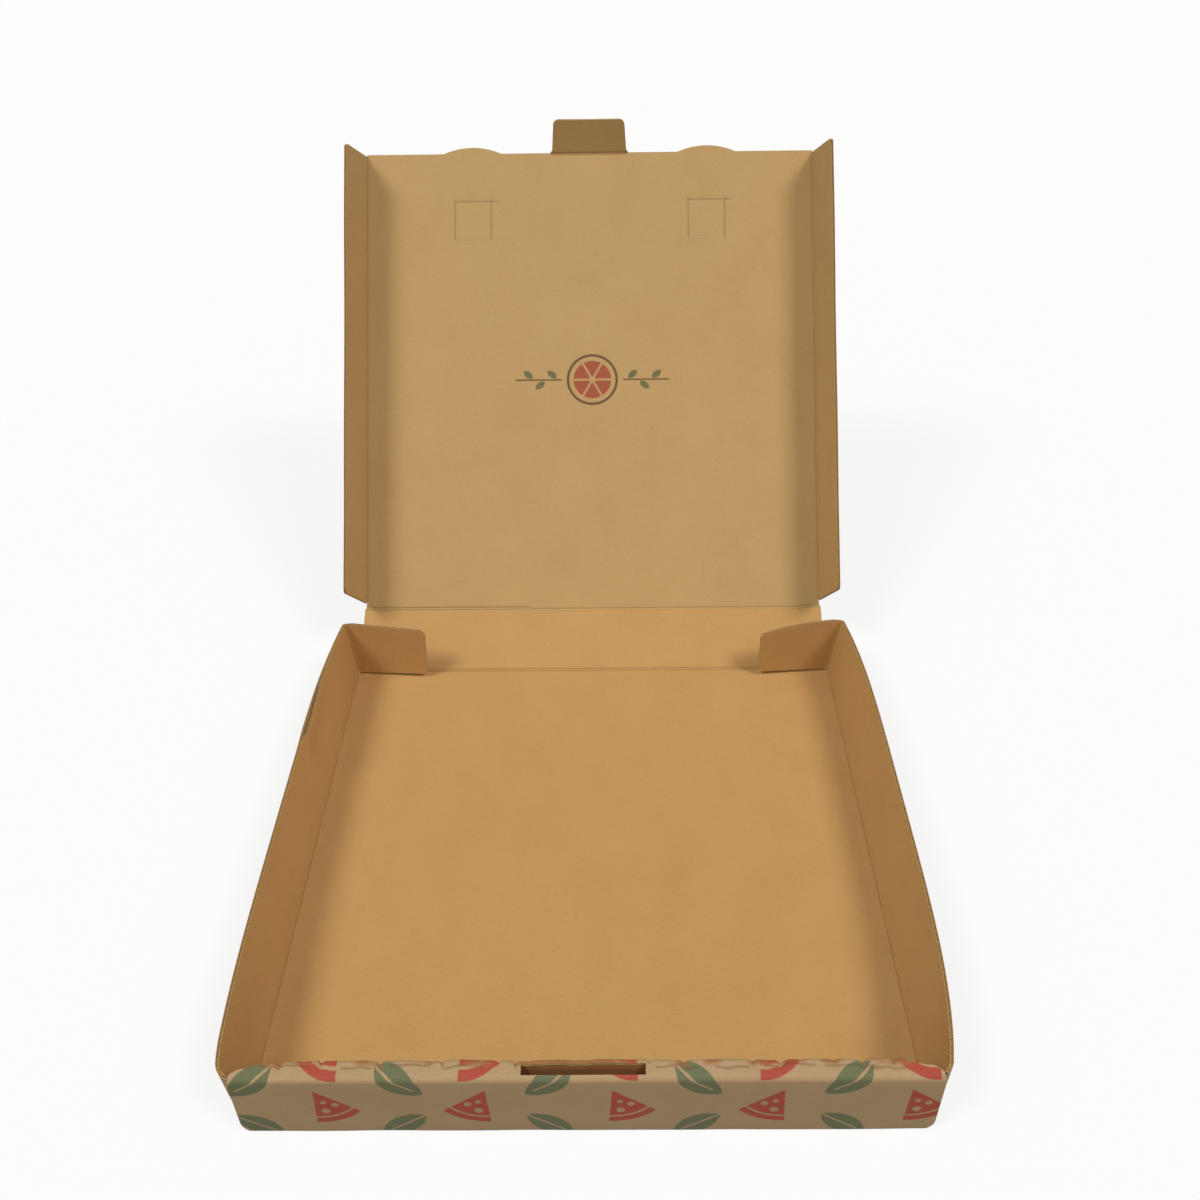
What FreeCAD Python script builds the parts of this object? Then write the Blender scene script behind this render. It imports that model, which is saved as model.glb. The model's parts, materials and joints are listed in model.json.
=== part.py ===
"""A take-away pizza box in corrugated board, standing open.

The frame: millimetres, +Z up, the origin at the middle of the tray's underside.
The front wall faces -Y and the lid's hinge is at +Y.
The tray is one folded sheet. The rear wall, the lid and the flaps hang on it at their creases.
A crease turns about a line in the middle of the board's thickness. Only the rear corner flaps
turn where two inner faces meet.
"""
import FreeCAD, Part
import math
import os

import Sketcher
from FreeCAD import Vector

SIZES = [
    ("board", 1.6, "thickness of the board"),
    ("crease_gap", 0.25, "free gap beside each crease that turns"),
    ("board_gap", 0.2, "gap between two boards that lie on each other"),
    ("fold_radius", 1.2, "mid-board radius of the tray's fixed folds"),
    ("tray_width", 306, "floor, side crease to side crease"),
    ("tray_depth", 311, "floor, front crease to rear crease"),
    ("side_wall_height", 42.8, "table to the side walls' top edge"),
    ("left_splay_rear", 3, "left wall's lean, at its rear end"),
    ("left_splay_middle", 9, "left wall's lean, along its middle"),
    ("left_splay_front", 5.5, "left wall's lean, at the front corner"),
    ("right_splay_rear", 4.5, "right wall's lean, at its rear end"),
    ("right_splay_middle", 11.5, "right wall's lean, along its middle"),
    ("right_splay_front", 3.5, "right wall's lean, at the front corner"),
    ("bow_power", 4, "how flat the side walls' bow is along its middle"),
    ("corner_radius_top", 7.5, "front corner's mid-board radius at the top"),
    ("corner_radius_foot", 3, "front corner's mid-board radius at the floor"),
    ("hidden_flap_length", 72, "front corner flap inside the double wall"),
    ("front_wall_height", 42, "table to the top of the double front wall"),
    ("front_wall_width", 305, "outer panel of the double front wall"),
    ("front_wall_thickness", 8, "double front wall, outer face to inner face"),
    ("front_end_slant", 17, "how far the inner panel ends short of the outer one"),
    ("slot_width", 52, "slot in the front wall's top for the lock tab"),
    ("hem_tab_width", 36, "tab that pins the inner panel into the floor"),
    ("hem_tab_spacing", 150, "between the two pinning tabs' middles"),
    ("rear_wall_height", 43.9, "rear wall, crease to crease"),
    ("rear_wall_width", 303, "rear wall, side to side"),
    ("rear_wall_angle", 30, "degrees from the table behind to the rear wall"),
    ("lid_angle", 50.5, "degrees from the table behind to the lid"),
    ("lid_width", 302, "lid, side crease to side crease"),
    ("lid_depth", 307.5, "lid, rear crease to front edge"),
    ("bump_spacing", 158, "between the middles of the lid's two thumb bumps"),
    ("bump_width", 39, "thumb bump along the lid's front edge"),
    ("bump_rise", 4.2, "thumb bump past the lid's front edge"),
    ("tab_crease_inset", 0.5, "lid's front edge to the lock tab's crease"),
    ("tab_width", 50, "lock tab at its crease"),
    ("tab_length", 25, "lock tab, crease to tip"),
    ("tab_taper", 1.5, "how much each side of the lock tab draws in"),
    ("tab_corner", 4, "lock tab's corner radius"),
    ("tab_angle", 45, "degrees that the lock tab is folded out of the lid"),
    ("vent_spacing", 157.2, "between the middles of the lid's two vent flaps"),
    ("vent_width", 24.4, "vent flap's cut, side to side"),
    ("vent_length", 25.8, "vent flap's cut, crease to front"),
    ("vent_inset", 32.7, "lid's front edge to the vent flap's front cut"),
    ("cut_gap", 0.3, "width of a cut in the board"),
    ("side_flap_width", 37.5, "lid's side flap, crease to free edge"),
    ("side_flap_angle", 81, "degrees that the side flaps are folded out of the lid"),
    ("side_flap_front", 1, "lid's front edge to the side flap's crease end"),
    ("side_flap_front_slant", 6.5, "slant of the side flap's front end"),
    ("side_flap_rear", 6, "lid's rear crease to the side flap's crease end"),
    ("side_flap_rear_slant", 5.5, "slant of the side flap's rear end"),
    ("side_flap_corner", 3, "side flap's corner radius"),
    ("rear_flap_length", 50, "rear corner flap, crease to free end"),
    ("left_flap_end_height", 37.5, "table to the left rear flap's top at its end"),
    ("right_flap_end_height", 34.5, "table to the right rear flap's top at its end"),
    ("rear_flap_angle", 6, "degrees that the rear corner flaps are folded past square"),
    ("rear_flap_notch_width", 4, "relief at the flap's root, inward of its crease's foot"),
    ("rear_flap_notch_depth", 8, "relief that lets the lid's side flap pass"),
    ("rear_flap_corner", 8, "rear corner flap's top corner radius"),
    ("rear_flap_foot", 1, "rear corner flap's foot above the floor board"),
    ("rear_flap_foot_rise", 2.5, "how much the foot rises to the free end"),
    ("rear_flap_foot_corner", 2, "rear corner flap's bottom corner radius"),
]

os.makedirs("parts", exist_ok=True)
doc = FreeCAD.newDocument("pizza_box")
sheet = doc.addObject("Spreadsheet::Sheet", "size")
for row, (alias, number, note) in enumerate(SIZES, start=1):
    sheet.set(f"A{row}", note)
    sheet.set(f"B{row}", str(number))
    sheet.setAlias(f"B{row}", alias)
doc.recompute()


class Size:
    """A length or an angle: its number now, and the formula that binds it to the sheet."""

    def __init__(self, number, formula):
        self.number = float(number)
        self.formula = str(formula)

    def __add__(self, other):
        other = as_size(other)
        return Size(self.number + other.number, f"({self.formula} + {other.formula})")

    def __sub__(self, other):
        other = as_size(other)
        return Size(self.number - other.number, f"({self.formula} - {other.formula})")

    def __mul__(self, other):
        other = as_size(other)
        return Size(self.number * other.number, f"({self.formula} * {other.formula})")

    def __truediv__(self, other):
        other = as_size(other)
        return Size(self.number / other.number, f"({self.formula} / {other.formula})")

    def __neg__(self):
        return self * -1


def as_size(value):
    return value if isinstance(value, Size) else Size(value, value)


def cell(alias):
    """The sheet's cell of that name."""
    return Size(getattr(sheet, alias), f"size.{alias}")


def degrees_of(rise, run):
    """The angle whose tangent is rise over run."""
    ratio = rise / run
    return Size(math.degrees(math.atan(ratio.number)), f"atan{ratio.formula}")


UP = Vector(0, 0, 1)
DOWN = Vector(0, 0, -1)
RIGHT = Vector(1, 0, 0)
FORWARD = Vector(0, -1, 0)
BACKWARD = Vector(0, 1, 0)
ZERO = as_size(0)
BOARD = cell("board")
HALF_BOARD = BOARD / 2
CREASE_EDGE = HALF_BOARD + cell("crease_gap")
FLOOR_EDGE = cell("tray_depth") / 2
FOLD_TOP = HALF_BOARD + cell("fold_radius")
REAR_FLAP_LINE = FLOOR_EDGE - HALF_BOARD - cell("crease_gap") - BOARD - cell("crease_gap") / 2
SIDE_WALL_REAR = REAR_FLAP_LINE - cell("crease_gap") / 2
FRONT_FACE = -(FLOOR_EDGE + HALF_BOARD)
INNER_PANEL_FACE = FRONT_FACE + cell("front_wall_thickness")
HIDDEN_FLAP_LINE = FRONT_FACE + BOARD + cell("board_gap") + HALF_BOARD
CUT_THROUGH = BOARD * 3
WALL_STATIONS = 13
DIAGONAL = math.sqrt(0.5)


def placed(at, axis=(0, 0, 1), angle=0):
    """The formula of a placement: a place, and a turn about an axis."""
    x, y, z = (as_size(a).formula for a in at)
    turn = as_size(angle).formula
    spot = f"create(<<vector>>; {x}; {y}; {z})"
    line = "create(<<vector>>; {}; {}; {})".format(*axis)
    return f"create(<<placement>>; {spot}; create(<<rotation>>; {line}; {turn}))"


def new_body(label):
    body = doc.addObject("PartDesign::Body", label)
    body.Label = label
    return body


def origin_plane(body, role):
    return next(o for o in body.Origin.OriginFeatures if o.Role == role)


def new_sketch(body, name, role="XY_Plane"):
    sketch = body.newObject("Sketcher::SketchObject", f"{body.Name}_{name}")
    sketch.AttachmentSupport = (origin_plane(body, role), "")
    sketch.MapMode = "FlatFace"
    return sketch


def bind(sketch, number, size):
    sketch.setExpression(f"Constraints[{number}]", size.formula)


def place_point(sketch, geometry, point, x, y):
    """Fixes one point of a sketch by its two distances from the sketch's origin."""
    for kind, size in (("DistanceX", x), ("DistanceY", y)):
        rule = Sketcher.Constraint(kind, -1, 1, geometry, point, size.number)
        bind(sketch, sketch.addConstraint(rule), size)


def rounding(before, corner, after, radius):
    """The tangent points, centre and turn of a corner rounded by an arc."""
    back = (before - corner).normalize()
    on = (after - corner).normalize()
    half = back.getAngle(on) / 2
    reach = radius / math.tan(half)
    centre = corner + (back + on).normalize() * (radius / math.sin(half))
    left_turn = back.cross(on).z < 0
    return corner + back * reach, corner + on * reach, centre, left_turn


def draw_outline(sketch, corners):
    """Draws a closed outline of straight sides; a corner (x, y, radius) is rounded."""
    corners = [tuple(as_size(c) for c in corner) for corner in corners]
    spots = [Vector(c[0].number, c[1].number, 0) for c in corners]
    count = len(corners)
    leave, arrive, arcs = list(spots), list(spots), {}
    for n, corner in enumerate(corners):
        if len(corner) == 3:
            arrive[n], leave[n], centre, left_turn = rounding(
                spots[n - 1], spots[n], spots[(n + 1) % count], corner[2].number)
            first, last = (arrive[n], leave[n]) if left_turn else (leave[n], arrive[n])
            circle = Part.Circle(centre, Vector(0, 0, 1), corner[2].number)
            arc = Part.ArcOfCircle(circle, circle.parameter(first), circle.parameter(last))
            arcs[n] = sketch.addGeometry(arc), 1 if left_turn else 2, 2 if left_turn else 1
    sides = [sketch.addGeometry(Part.LineSegment(leave[n], arrive[(n + 1) % count]))
             for n in range(count)]
    for n, corner in enumerate(corners):
        side_in, side_out = sides[n - 1], sides[n]
        if n in arcs:
            arc, start, end = arcs[n]
            sketch.addConstraint(Sketcher.Constraint("Tangent", side_in, 2, arc, start))
            sketch.addConstraint(Sketcher.Constraint("Tangent", arc, end, side_out, 1))
            radius = Sketcher.Constraint("Radius", arc, corner[2].number)
            bind(sketch, sketch.addConstraint(radius), corner[2])
            point = sketch.addGeometry(Part.Point(spots[n]), True)
            sketch.addConstraint(Sketcher.Constraint("PointOnObject", point, 1, side_in))
            sketch.addConstraint(Sketcher.Constraint("PointOnObject", point, 1, side_out))
            place_point(sketch, point, 1, corner[0], corner[1])
        else:
            sketch.addConstraint(Sketcher.Constraint("Coincident", side_in, 2, side_out, 1))
            place_point(sketch, side_out, 1, corner[0], corner[1])


def board_pad(body, sketch):
    """Gives the sketch the board's thickness, half to each side of its plane."""
    pad = body.newObject("PartDesign::Pad", f"{sketch.Name}_board")
    pad.Profile = sketch
    pad.SideType = "Symmetric"
    pad.setExpression("Length", BOARD.formula)
    sketch.Visibility = False
    doc.recompute()
    return pad


def board_cut(body, sketch):
    """Cuts the sketch through the whole board, both ways from its plane."""
    before = body.Shape.Volume
    cut = body.newObject("PartDesign::Pocket", f"{sketch.Name}_cut")
    cut.Profile = sketch
    cut.Type = "Length"
    cut.SideType = "Symmetric"
    cut.setExpression("Length", CUT_THROUGH.formula)
    doc.recompute()
    if body.Shape.Volume >= before:
        raise RuntimeError(f"{cut.Name} removes nothing")
    return cut


def crease_bead(body, role, offset, length):
    """The half-round edge that a panel turns on, along its crease."""
    bead = body.newObject("PartDesign::AdditiveCylinder", f"{body.Name}_crease")
    bead.AttachmentSupport = (origin_plane(body, role), "")
    bead.MapMode = "FlatFace"
    bead.setExpression("AttachmentOffset", placed(offset))
    bead.setExpression("Radius", HALF_BOARD.formula)
    bead.setExpression("Height", length.formula)
    doc.recompute()
    return bead


def rectangle(x_low, x_high, y_low, y_high):
    return [(x_low, y_low), (x_high, y_low), (x_high, y_high), (x_low, y_high)]


def make_rear_wall():
    """The panel between the tray's floor and the lid, from crease to crease."""
    body = new_body("rear_wall")
    half = cell("rear_wall_width") / 2
    outline = new_sketch(body, "outline")
    top = cell("rear_wall_height") - CREASE_EDGE
    draw_outline(outline, rectangle(-half, half, ZERO, top))
    board_pad(body, outline)
    crease_bead(body, "YZ_Plane", (0, 0, -half), half * 2)
    at = (0, FLOOR_EDGE, HALF_BOARD)
    body.setExpression("Placement", placed(at, (1, 0, 0), cell("rear_wall_angle")))
    return body


def make_lid(rear_wall):
    """The lid's panel: thumb bumps on its front edge, a notch for the lock tab, two vents."""
    body = new_body("lid")
    half = cell("lid_width") / 2 - CREASE_EDGE
    front = cell("lid_depth")
    outline = new_sketch(body, "outline")
    draw_outline(outline, rectangle(-half, half, ZERO, front))
    board_pad(body, outline)
    half_bump = cell("bump_width") / 2
    rise = cell("bump_rise")
    radius = (half_bump * half_bump + rise * rise) / (rise * 2)
    for name, side in (("left_bump", -1), ("right_bump", 1)):
        bump = new_sketch(body, name)
        centre = (cell("bump_spacing") / 2 * side, front + rise - radius)
        draw_circle(bump, centre, radius)
        board_pad(body, bump)
    crease_bead(body, "YZ_Plane", (0, 0, -half), half * 2)
    notch_half = cell("tab_width") / 2 + cell("cut_gap")
    notch_foot = front - cell("tab_crease_inset") - CREASE_EDGE
    notch = new_sketch(body, "notch")
    draw_outline(notch, rectangle(-notch_half, notch_half, notch_foot, front + rise))
    board_cut(body, notch)
    vent_half = cell("vent_width") / 2
    vent_front = front - cell("vent_inset")
    vent_rear = vent_front - cell("vent_length") - CREASE_EDGE
    for name, side in (("left_vent", -1), ("right_vent", 1)):
        middle = cell("vent_spacing") / 2 * side
        vent = new_sketch(body, name)
        draw_outline(vent, rectangle(middle - vent_half, middle + vent_half, vent_rear, vent_front))
        board_cut(body, vent)
    turn = cell("lid_angle") - cell("rear_wall_angle")
    at = (0, cell("rear_wall_height"), 0)
    body.setExpression("Placement", f"{rear_wall.Name}.Placement * {placed(at, (1, 0, 0), turn)}")
    return body


def draw_circle(sketch, centre, radius):
    spot = Vector(centre[0].number, centre[1].number, 0)
    circle = sketch.addGeometry(Part.Circle(spot, Vector(0, 0, 1), radius.number))
    bind(sketch, sketch.addConstraint(Sketcher.Constraint("Radius", circle, radius.number)), radius)
    place_point(sketch, circle, 3, centre[0], centre[1])


def make_lock_tab(lid):
    """The tongue on the lid's front edge that goes into the front wall's slot."""
    body = new_body("lid_lock_tab")
    half = cell("tab_width") / 2
    tip = half - cell("tab_taper")
    length, corner = cell("tab_length"), cell("tab_corner")
    outline = new_sketch(body, "outline")
    draw_outline(outline, [(-half, ZERO), (half, ZERO), (tip, length, corner), (-tip, length, corner)])
    board_pad(body, outline)
    crease_bead(body, "YZ_Plane", (0, 0, -half), half * 2)
    at = (0, cell("lid_depth") - cell("tab_crease_inset"), 0)
    body.setExpression("Placement", f"{lid.Name}.Placement * {placed(at, (1, 0, 0), cell('tab_angle'))}")
    return body


def make_vent_flap(lid, label, side):
    """A flap cut free on three sides in the lid, flush with it."""
    body = new_body(label)
    half = cell("vent_width") / 2 - cell("cut_gap")
    outline = new_sketch(body, "outline")
    draw_outline(outline, rectangle(-half, half, ZERO, cell("vent_length") - cell("cut_gap")))
    board_pad(body, outline)
    crease_bead(body, "YZ_Plane", (0, 0, -half), half * 2)
    rear = cell("lid_depth") - cell("vent_inset") - cell("vent_length")
    at = (cell("vent_spacing") / 2 * side, rear, 0)
    body.setExpression("Placement", f"{lid.Name}.Placement * {placed(at)}")
    return body


def make_side_flap(lid, label, side):
    """One of the lid's two side flaps, with both ends slanted to clear the tray's corners."""
    body = new_body(label)
    low = cell("side_flap_rear")
    high = cell("lid_depth") - cell("side_flap_front")
    reach = cell("side_flap_width") * side
    corner = cell("side_flap_corner")
    outline = new_sketch(body, "outline")
    draw_outline(outline, [
        (ZERO, low),
        (reach, low + cell("side_flap_rear_slant"), corner),
        (reach, high - cell("side_flap_front_slant"), corner),
        (ZERO, high),
    ])
    board_pad(body, outline)
    crease_bead(body, "XZ_Plane", (0, 0, -high), high - low)
    at = (cell("lid_width") / 2 * side, 0, 0)
    fold = cell("side_flap_angle") * -side
    body.setExpression("Placement", f"{lid.Name}.Placement * {placed(at, (0, 1, 0), fold)}")
    return body


def make_rear_flap(label, side, splay, end_height):
    """A corner flap folded in from a side wall's rear end.

    Its crease leans with the wall and runs where the two inner faces meet.
    """
    body = new_body(label)
    wall_rise = cell("side_wall_height") - FOLD_TOP
    foot = BOARD + cell("rear_flap_foot") - FOLD_TOP
    top = wall_rise - cell("crease_gap")
    notch_z = top - cell("rear_flap_notch_depth")
    notch_x = cell("rear_flap_notch_width") * -side
    end = cell("rear_flap_length") * -side
    lean = splay / wall_rise
    outline = new_sketch(body, "outline", "XZ_Plane")
    draw_outline(outline, [
        ((lean * foot + HALF_BOARD) * side, foot),
        (end, foot + cell("rear_flap_foot_rise"), cell("rear_flap_foot_corner")),
        (end, end_height - FOLD_TOP, cell("rear_flap_corner")),
        (notch_x, top),
        (notch_x, notch_z),
        ((lean * notch_z + HALF_BOARD) * side, notch_z),
    ])
    pad = board_pad(body, outline)
    pad.SideType = "One side"
    pad.Reversed = True
    outline.setExpression("AttachmentOffset", placed((0, 0, -cell("crease_gap") / 2)))
    at = ((cell("tray_width") / 2 - HALF_BOARD) * side, REAR_FLAP_LINE, FOLD_TOP)
    tilt = degrees_of(splay * side, wall_rise)
    lean_to = placed(at, (0, 1, 0), tilt)
    fold = placed((0, 0, 0), (0, 0, 1), cell("rear_flap_angle") * side)
    lean_back = placed((0, 0, 0), (0, 1, 0), -tilt)
    body.setExpression("Placement", f"{lean_to} * {fold} * {lean_back}")
    return body


def loop_face(edges):
    return Part.Face(Part.Wire(Part.__sortEdges__(edges)))


def side_wall_shape(side, rear, middle, front):
    """A side wall that leans and bows outward, with the hidden flap folded in at its front."""
    foot_z, top_z = FOLD_TOP.number, sheet.side_wall_height
    start, finish = SIDE_WALL_REAR.number, HIDDEN_FLAP_LINE.number
    crease = side * sheet.tray_width / 2
    inner_end = crease - side * sheet.hidden_flap_length

    def splay(along):
        end = rear if along < 0.5 else front
        return end + (middle - end) * (1 - abs(2 * along - 1) ** sheet.bow_power)

    def slice_at(z, radius, share):
        """The board's closed outline at one height; share is 0 at the crease, 1 at the top."""
        turn_y = finish + radius
        length = start - turn_y
        spots = []
        for n in range(WALL_STATIONS):
            along = n / (WALL_STATIONS - 1)
            spots.append((crease + side * share * splay(along), start - along * length))
        turn_x = spots[-1][0] - side * radius
        rows = []
        for face in (1, -1):
            shift = face * HALF_BOARD.number
            line = [Vector(x + side * shift, y, z) for x, y in spots]
            if share:
                curve = Part.BSplineCurve()
                curve.interpolate(line)
                wall = curve.toShape()
            else:
                wall = Part.makeLine(line[0], line[-1])
            bend = radius + shift
            slope = DIAGONAL * bend
            turned = Vector(turn_x, turn_y - bend, z)
            middle_spot = Vector(turn_x + side * slope, turn_y - slope, z)
            arc = Part.Arc(line[-1], middle_spot, turned).toShape()
            last = Vector(inner_end, turned.y, z)
            rows.append((wall, arc, Part.makeLine(turned, last), line[0], last))
        outer, inner = rows
        ends = [Part.makeLine(outer[4], inner[4]), Part.makeLine(inner[3], outer[3])]
        return Part.Wire([outer[0], outer[1], outer[2], ends[0], inner[2], inner[1], inner[0], ends[1]])

    foot_wire = slice_at(foot_z, sheet.corner_radius_foot, 0)
    top_wire = slice_at(top_z, sheet.corner_radius_top, 1)
    wall = Part.makeLoft([foot_wire, top_wire], True, True)
    return wall.removeSplitter()


def bend_shape(centre, from_way, to_way, sweep):
    """A quarter ring of board, the fixed fold between two panels, swept along its crease."""
    outer = sheet.fold_radius + HALF_BOARD.number
    inner = sheet.fold_radius - HALF_BOARD.number
    halfway = (from_way + to_way).normalize()
    rims = [[centre + way * radius for way in (from_way, halfway, to_way)]
            for radius in (outer, inner)]
    edges = [Part.Arc(*rim).toShape() for rim in rims]
    edges += [Part.makeLine(rims[0][end], rims[1][end]) for end in (0, -1)]
    return loop_face(edges).extrude(sweep)


def box_between(low, high):
    span = high - low
    return Part.makeBox(span.x, span.y, span.z, low)


def front_wall_shape():
    """The front wall rolled over on itself: outer panel, top strip, inner panel, pinning tabs."""
    radius = sheet.fold_radius
    half = sheet.front_wall_width / 2
    front, back = FRONT_FACE.number, INNER_PANEL_FACE.number
    top, thick = sheet.front_wall_height, sheet.board
    reach = radius + thick / 2
    foot = thick + sheet.board_gap
    across = RIGHT * (2 * half)
    pieces = [
        bend_shape(Vector(-half, front + reach, reach), DOWN, FORWARD, across),
        box_between(Vector(-half, front, reach), Vector(half, front + thick, top - reach)),
        bend_shape(Vector(-half, front + reach, top - reach), FORWARD, UP, across),
        box_between(Vector(-half, front + reach, top - thick), Vector(half, back - reach, top)),
        bend_shape(Vector(-half, back - reach, top - reach), UP, BACKWARD, across),
        box_between(Vector(-half, back - thick, foot), Vector(half, back, top - reach)),
    ]
    wall = pieces[0].multiFuse(pieces[1:])
    for side in (-1, 1):
        edge = half - sheet.front_end_slant
        corners = [
            Vector(side * half, front + thick, thick),
            Vector(side * (half + thick), front + thick, thick),
            Vector(side * (half + thick), back + thick, thick),
            Vector(side * edge, back + thick, thick),
            Vector(side * edge, back, thick),
        ]
        wedge = Part.Face(Part.makePolygon(corners + corners[:1])).extrude(Vector(0, 0, top))
        wall = wall.cut(wedge)
    for side in (-1, 1):
        middle = side * sheet.hem_tab_spacing / 2
        tab_half = sheet.hem_tab_width / 2
        low = Vector(middle - tab_half, back - thick, sheet.board_gap)
        wall = wall.fuse(box_between(low, Vector(middle + tab_half, back, foot)))
    slot_half = sheet.slot_width / 2
    low = Vector(-slot_half, front + thick, top - 2 * thick)
    high = Vector(slot_half, back - thick, top + thick)
    return wall.cut(box_between(low, high))


def floor_shape():
    """The floor with the side walls' folds, and the slots that the pinning tabs go through."""
    thick, radius = sheet.board, sheet.fold_radius
    reach = radius + thick / 2
    half = sheet.tray_width / 2 + thick / 2 - reach
    front = FRONT_FACE.number + reach
    rear = FLOOR_EDGE.number - CREASE_EDGE.number
    floor = box_between(Vector(-half, front, 0), Vector(half, rear, thick))
    fold_front = HIDDEN_FLAP_LINE.number + sheet.corner_radius_foot
    along = BACKWARD * (SIDE_WALL_REAR.number - fold_front)
    left = bend_shape(Vector(-half, fold_front, reach), -RIGHT, DOWN, along)
    right = bend_shape(Vector(half, fold_front, reach), DOWN, RIGHT, along)
    floor = floor.multiFuse([left, right])
    back = INNER_PANEL_FACE.number
    for side in (-1, 1):
        middle = side * sheet.hem_tab_spacing / 2
        slot_half = sheet.hem_tab_width / 2 + sheet.board_gap
        low = Vector(middle - slot_half, back - thick - sheet.board_gap, -thick)
        high = Vector(middle + slot_half, back + sheet.board_gap, 2 * thick)
        floor = floor.cut(box_between(low, high))
    return floor


def make_tray():
    """The tray, one folded sheet: floor, leaning side walls, double front wall."""
    strip_under = sheet.front_wall_height - sheet.board - sheet.board_gap
    clear_x = sheet.front_wall_width / 2 + sheet.board_gap
    above = box_between(
        Vector(-clear_x, FRONT_FACE.number - sheet.board, strip_under),
        Vector(clear_x, INNER_PANEL_FACE.number, sheet.side_wall_height + sheet.board))
    walls = [
        side_wall_shape(-1, sheet.left_splay_rear, sheet.left_splay_middle, sheet.left_splay_front),
        side_wall_shape(1, sheet.right_splay_rear, sheet.right_splay_middle, sheet.right_splay_front),
    ]
    walls = [wall.cut(above) for wall in walls]
    tray = doc.addObject("Part::Feature", "tray")
    tray.Label = "tray"
    tray.Shape = floor_shape().multiFuse([front_wall_shape()] + walls).removeSplitter()
    return tray


tray = make_tray()
rear_wall = make_rear_wall()
lid = make_lid(rear_wall)
parts = [
    tray,
    rear_wall,
    lid,
    make_lock_tab(lid),
    make_vent_flap(lid, "vent_flap_left", -1),
    make_vent_flap(lid, "vent_flap_right", 1),
    make_side_flap(lid, "lid_side_flap_left", -1),
    make_side_flap(lid, "lid_side_flap_right", 1),
    make_rear_flap("rear_corner_flap_left", -1, cell("left_splay_rear"), cell("left_flap_end_height")),
    make_rear_flap("rear_corner_flap_right", 1, cell("right_splay_rear"), cell("right_flap_end_height")),
]
doc.recompute()

for item in doc.Objects:
    if "Invalid" in item.State or "Error" in item.State:
        raise RuntimeError(f"{item.Name} failed: {item.State}")
for part in parts:
    shape = part.Shape
    if shape.isNull() or not shape.isValid() or len(shape.Solids) != 1:
        raise RuntimeError(f"{part.Label} is not one valid solid")
for part in parts:
    part.Shape.exportStep(f"parts/{part.Label}.step")
    print(part.Label, round(part.Shape.Volume), part.Shape.BoundBox)
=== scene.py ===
"""A take-away pizza box in corrugated kraft board, open, with its lid leaning back.

Lengths are in millimetres until a mesh is made, which is in metres, as the frame is.
Each panel is drawn flat, as it lies in the die-cut sheet: s runs across the box, along the flutes,
and t runs from the front wall to the lid. A panel's own function then folds it into its place.
"""
import json
import math
from functools import partial

import bmesh
import bpy
from mathutils import Matrix, Vector, noise


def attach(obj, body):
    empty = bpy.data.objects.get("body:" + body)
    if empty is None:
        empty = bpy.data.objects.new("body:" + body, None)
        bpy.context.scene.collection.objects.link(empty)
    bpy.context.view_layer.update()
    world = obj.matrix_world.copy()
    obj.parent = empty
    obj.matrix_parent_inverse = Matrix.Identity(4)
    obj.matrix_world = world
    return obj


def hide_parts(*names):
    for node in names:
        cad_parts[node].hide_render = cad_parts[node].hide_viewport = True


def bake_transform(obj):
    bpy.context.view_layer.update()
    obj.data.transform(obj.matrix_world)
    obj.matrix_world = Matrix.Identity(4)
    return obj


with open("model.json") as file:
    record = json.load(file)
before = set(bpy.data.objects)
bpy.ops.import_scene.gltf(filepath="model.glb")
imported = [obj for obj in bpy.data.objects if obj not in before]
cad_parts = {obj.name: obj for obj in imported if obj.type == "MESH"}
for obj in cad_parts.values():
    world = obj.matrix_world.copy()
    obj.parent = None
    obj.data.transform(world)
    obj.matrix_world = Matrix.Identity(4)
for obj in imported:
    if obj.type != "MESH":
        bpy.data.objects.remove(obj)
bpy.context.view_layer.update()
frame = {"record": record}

MM = 0.001
HALF = 0.8                # half the board's thickness
LINER = 0.27              # thickness of each of its two papers
WEB = 0.16                # thickness of the fluted paper between them
FLUTE = 3.3               # flute to flute
FLUTED_DEPTH = 0.7        # how deep one sees into a cut across the flutes
CRUSHED_DEPTH = 0.15      # how deep a cut along the flutes is crushed in
FULL_MARK = 0.25          # a crease or a knife cut this deep shows its full painted shade
FLUTE_POINTS = 8          # points that draw one flute
SET_BACK = 0.05           # the fluted paper starts this far inside the cut
SHARP_FROM = math.radians(38)        # faces that meet at more than this show an edge
STEP = 0.05               # for slopes

FOLD = 1.2                # mid-board radius of a folded crease
WIDE_FOLD = 2.2           # and of the softer ones, at the front wall's top, the rear wall and the lid
MARGIN = 2.0              # board that a panel keeps beyond its crease
CUT_GAP = 0.03            # left by a knife cut between two panels
LEAD_IN = 20.0            # straight board that a folded panel's side view starts with

FLOOR_HALF = 153.0        # the tray's side creases
FLOOR_MIDDLE = HALF       # height of the floor board's middle
WALL_FOOT = FLOOR_HALF - FOLD + FOLD * math.pi / 2
WALL_FLAT = 41.45         # side wall, fold to top edge, along the board
WALL_LOW = 2.0            # height at which its flat part starts
WALL_RISE = 40.8          # and from there to its top edge
WALL_REAR = 152.6         # its rear end, where the corner flap is creased
SPLAY = {-1: (3.0, 9.0, 5.5), 1: (4.5, 11.5, 3.5)}   # how its top leans out: rear, middle, front
SPRUNG = 2.3              # how far the left wall's top has sprung in
TORN_START, TORN_END = 28.0, 110.0   # where its outer paper is torn loose, from its rear end
CORNER_FOOT = 3.0         # a front corner's radius at its foot
CORNER_TOP = 7.5          # and at its top
FLAP_LINE_Y = -153.7      # the hidden flap round that corner

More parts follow.
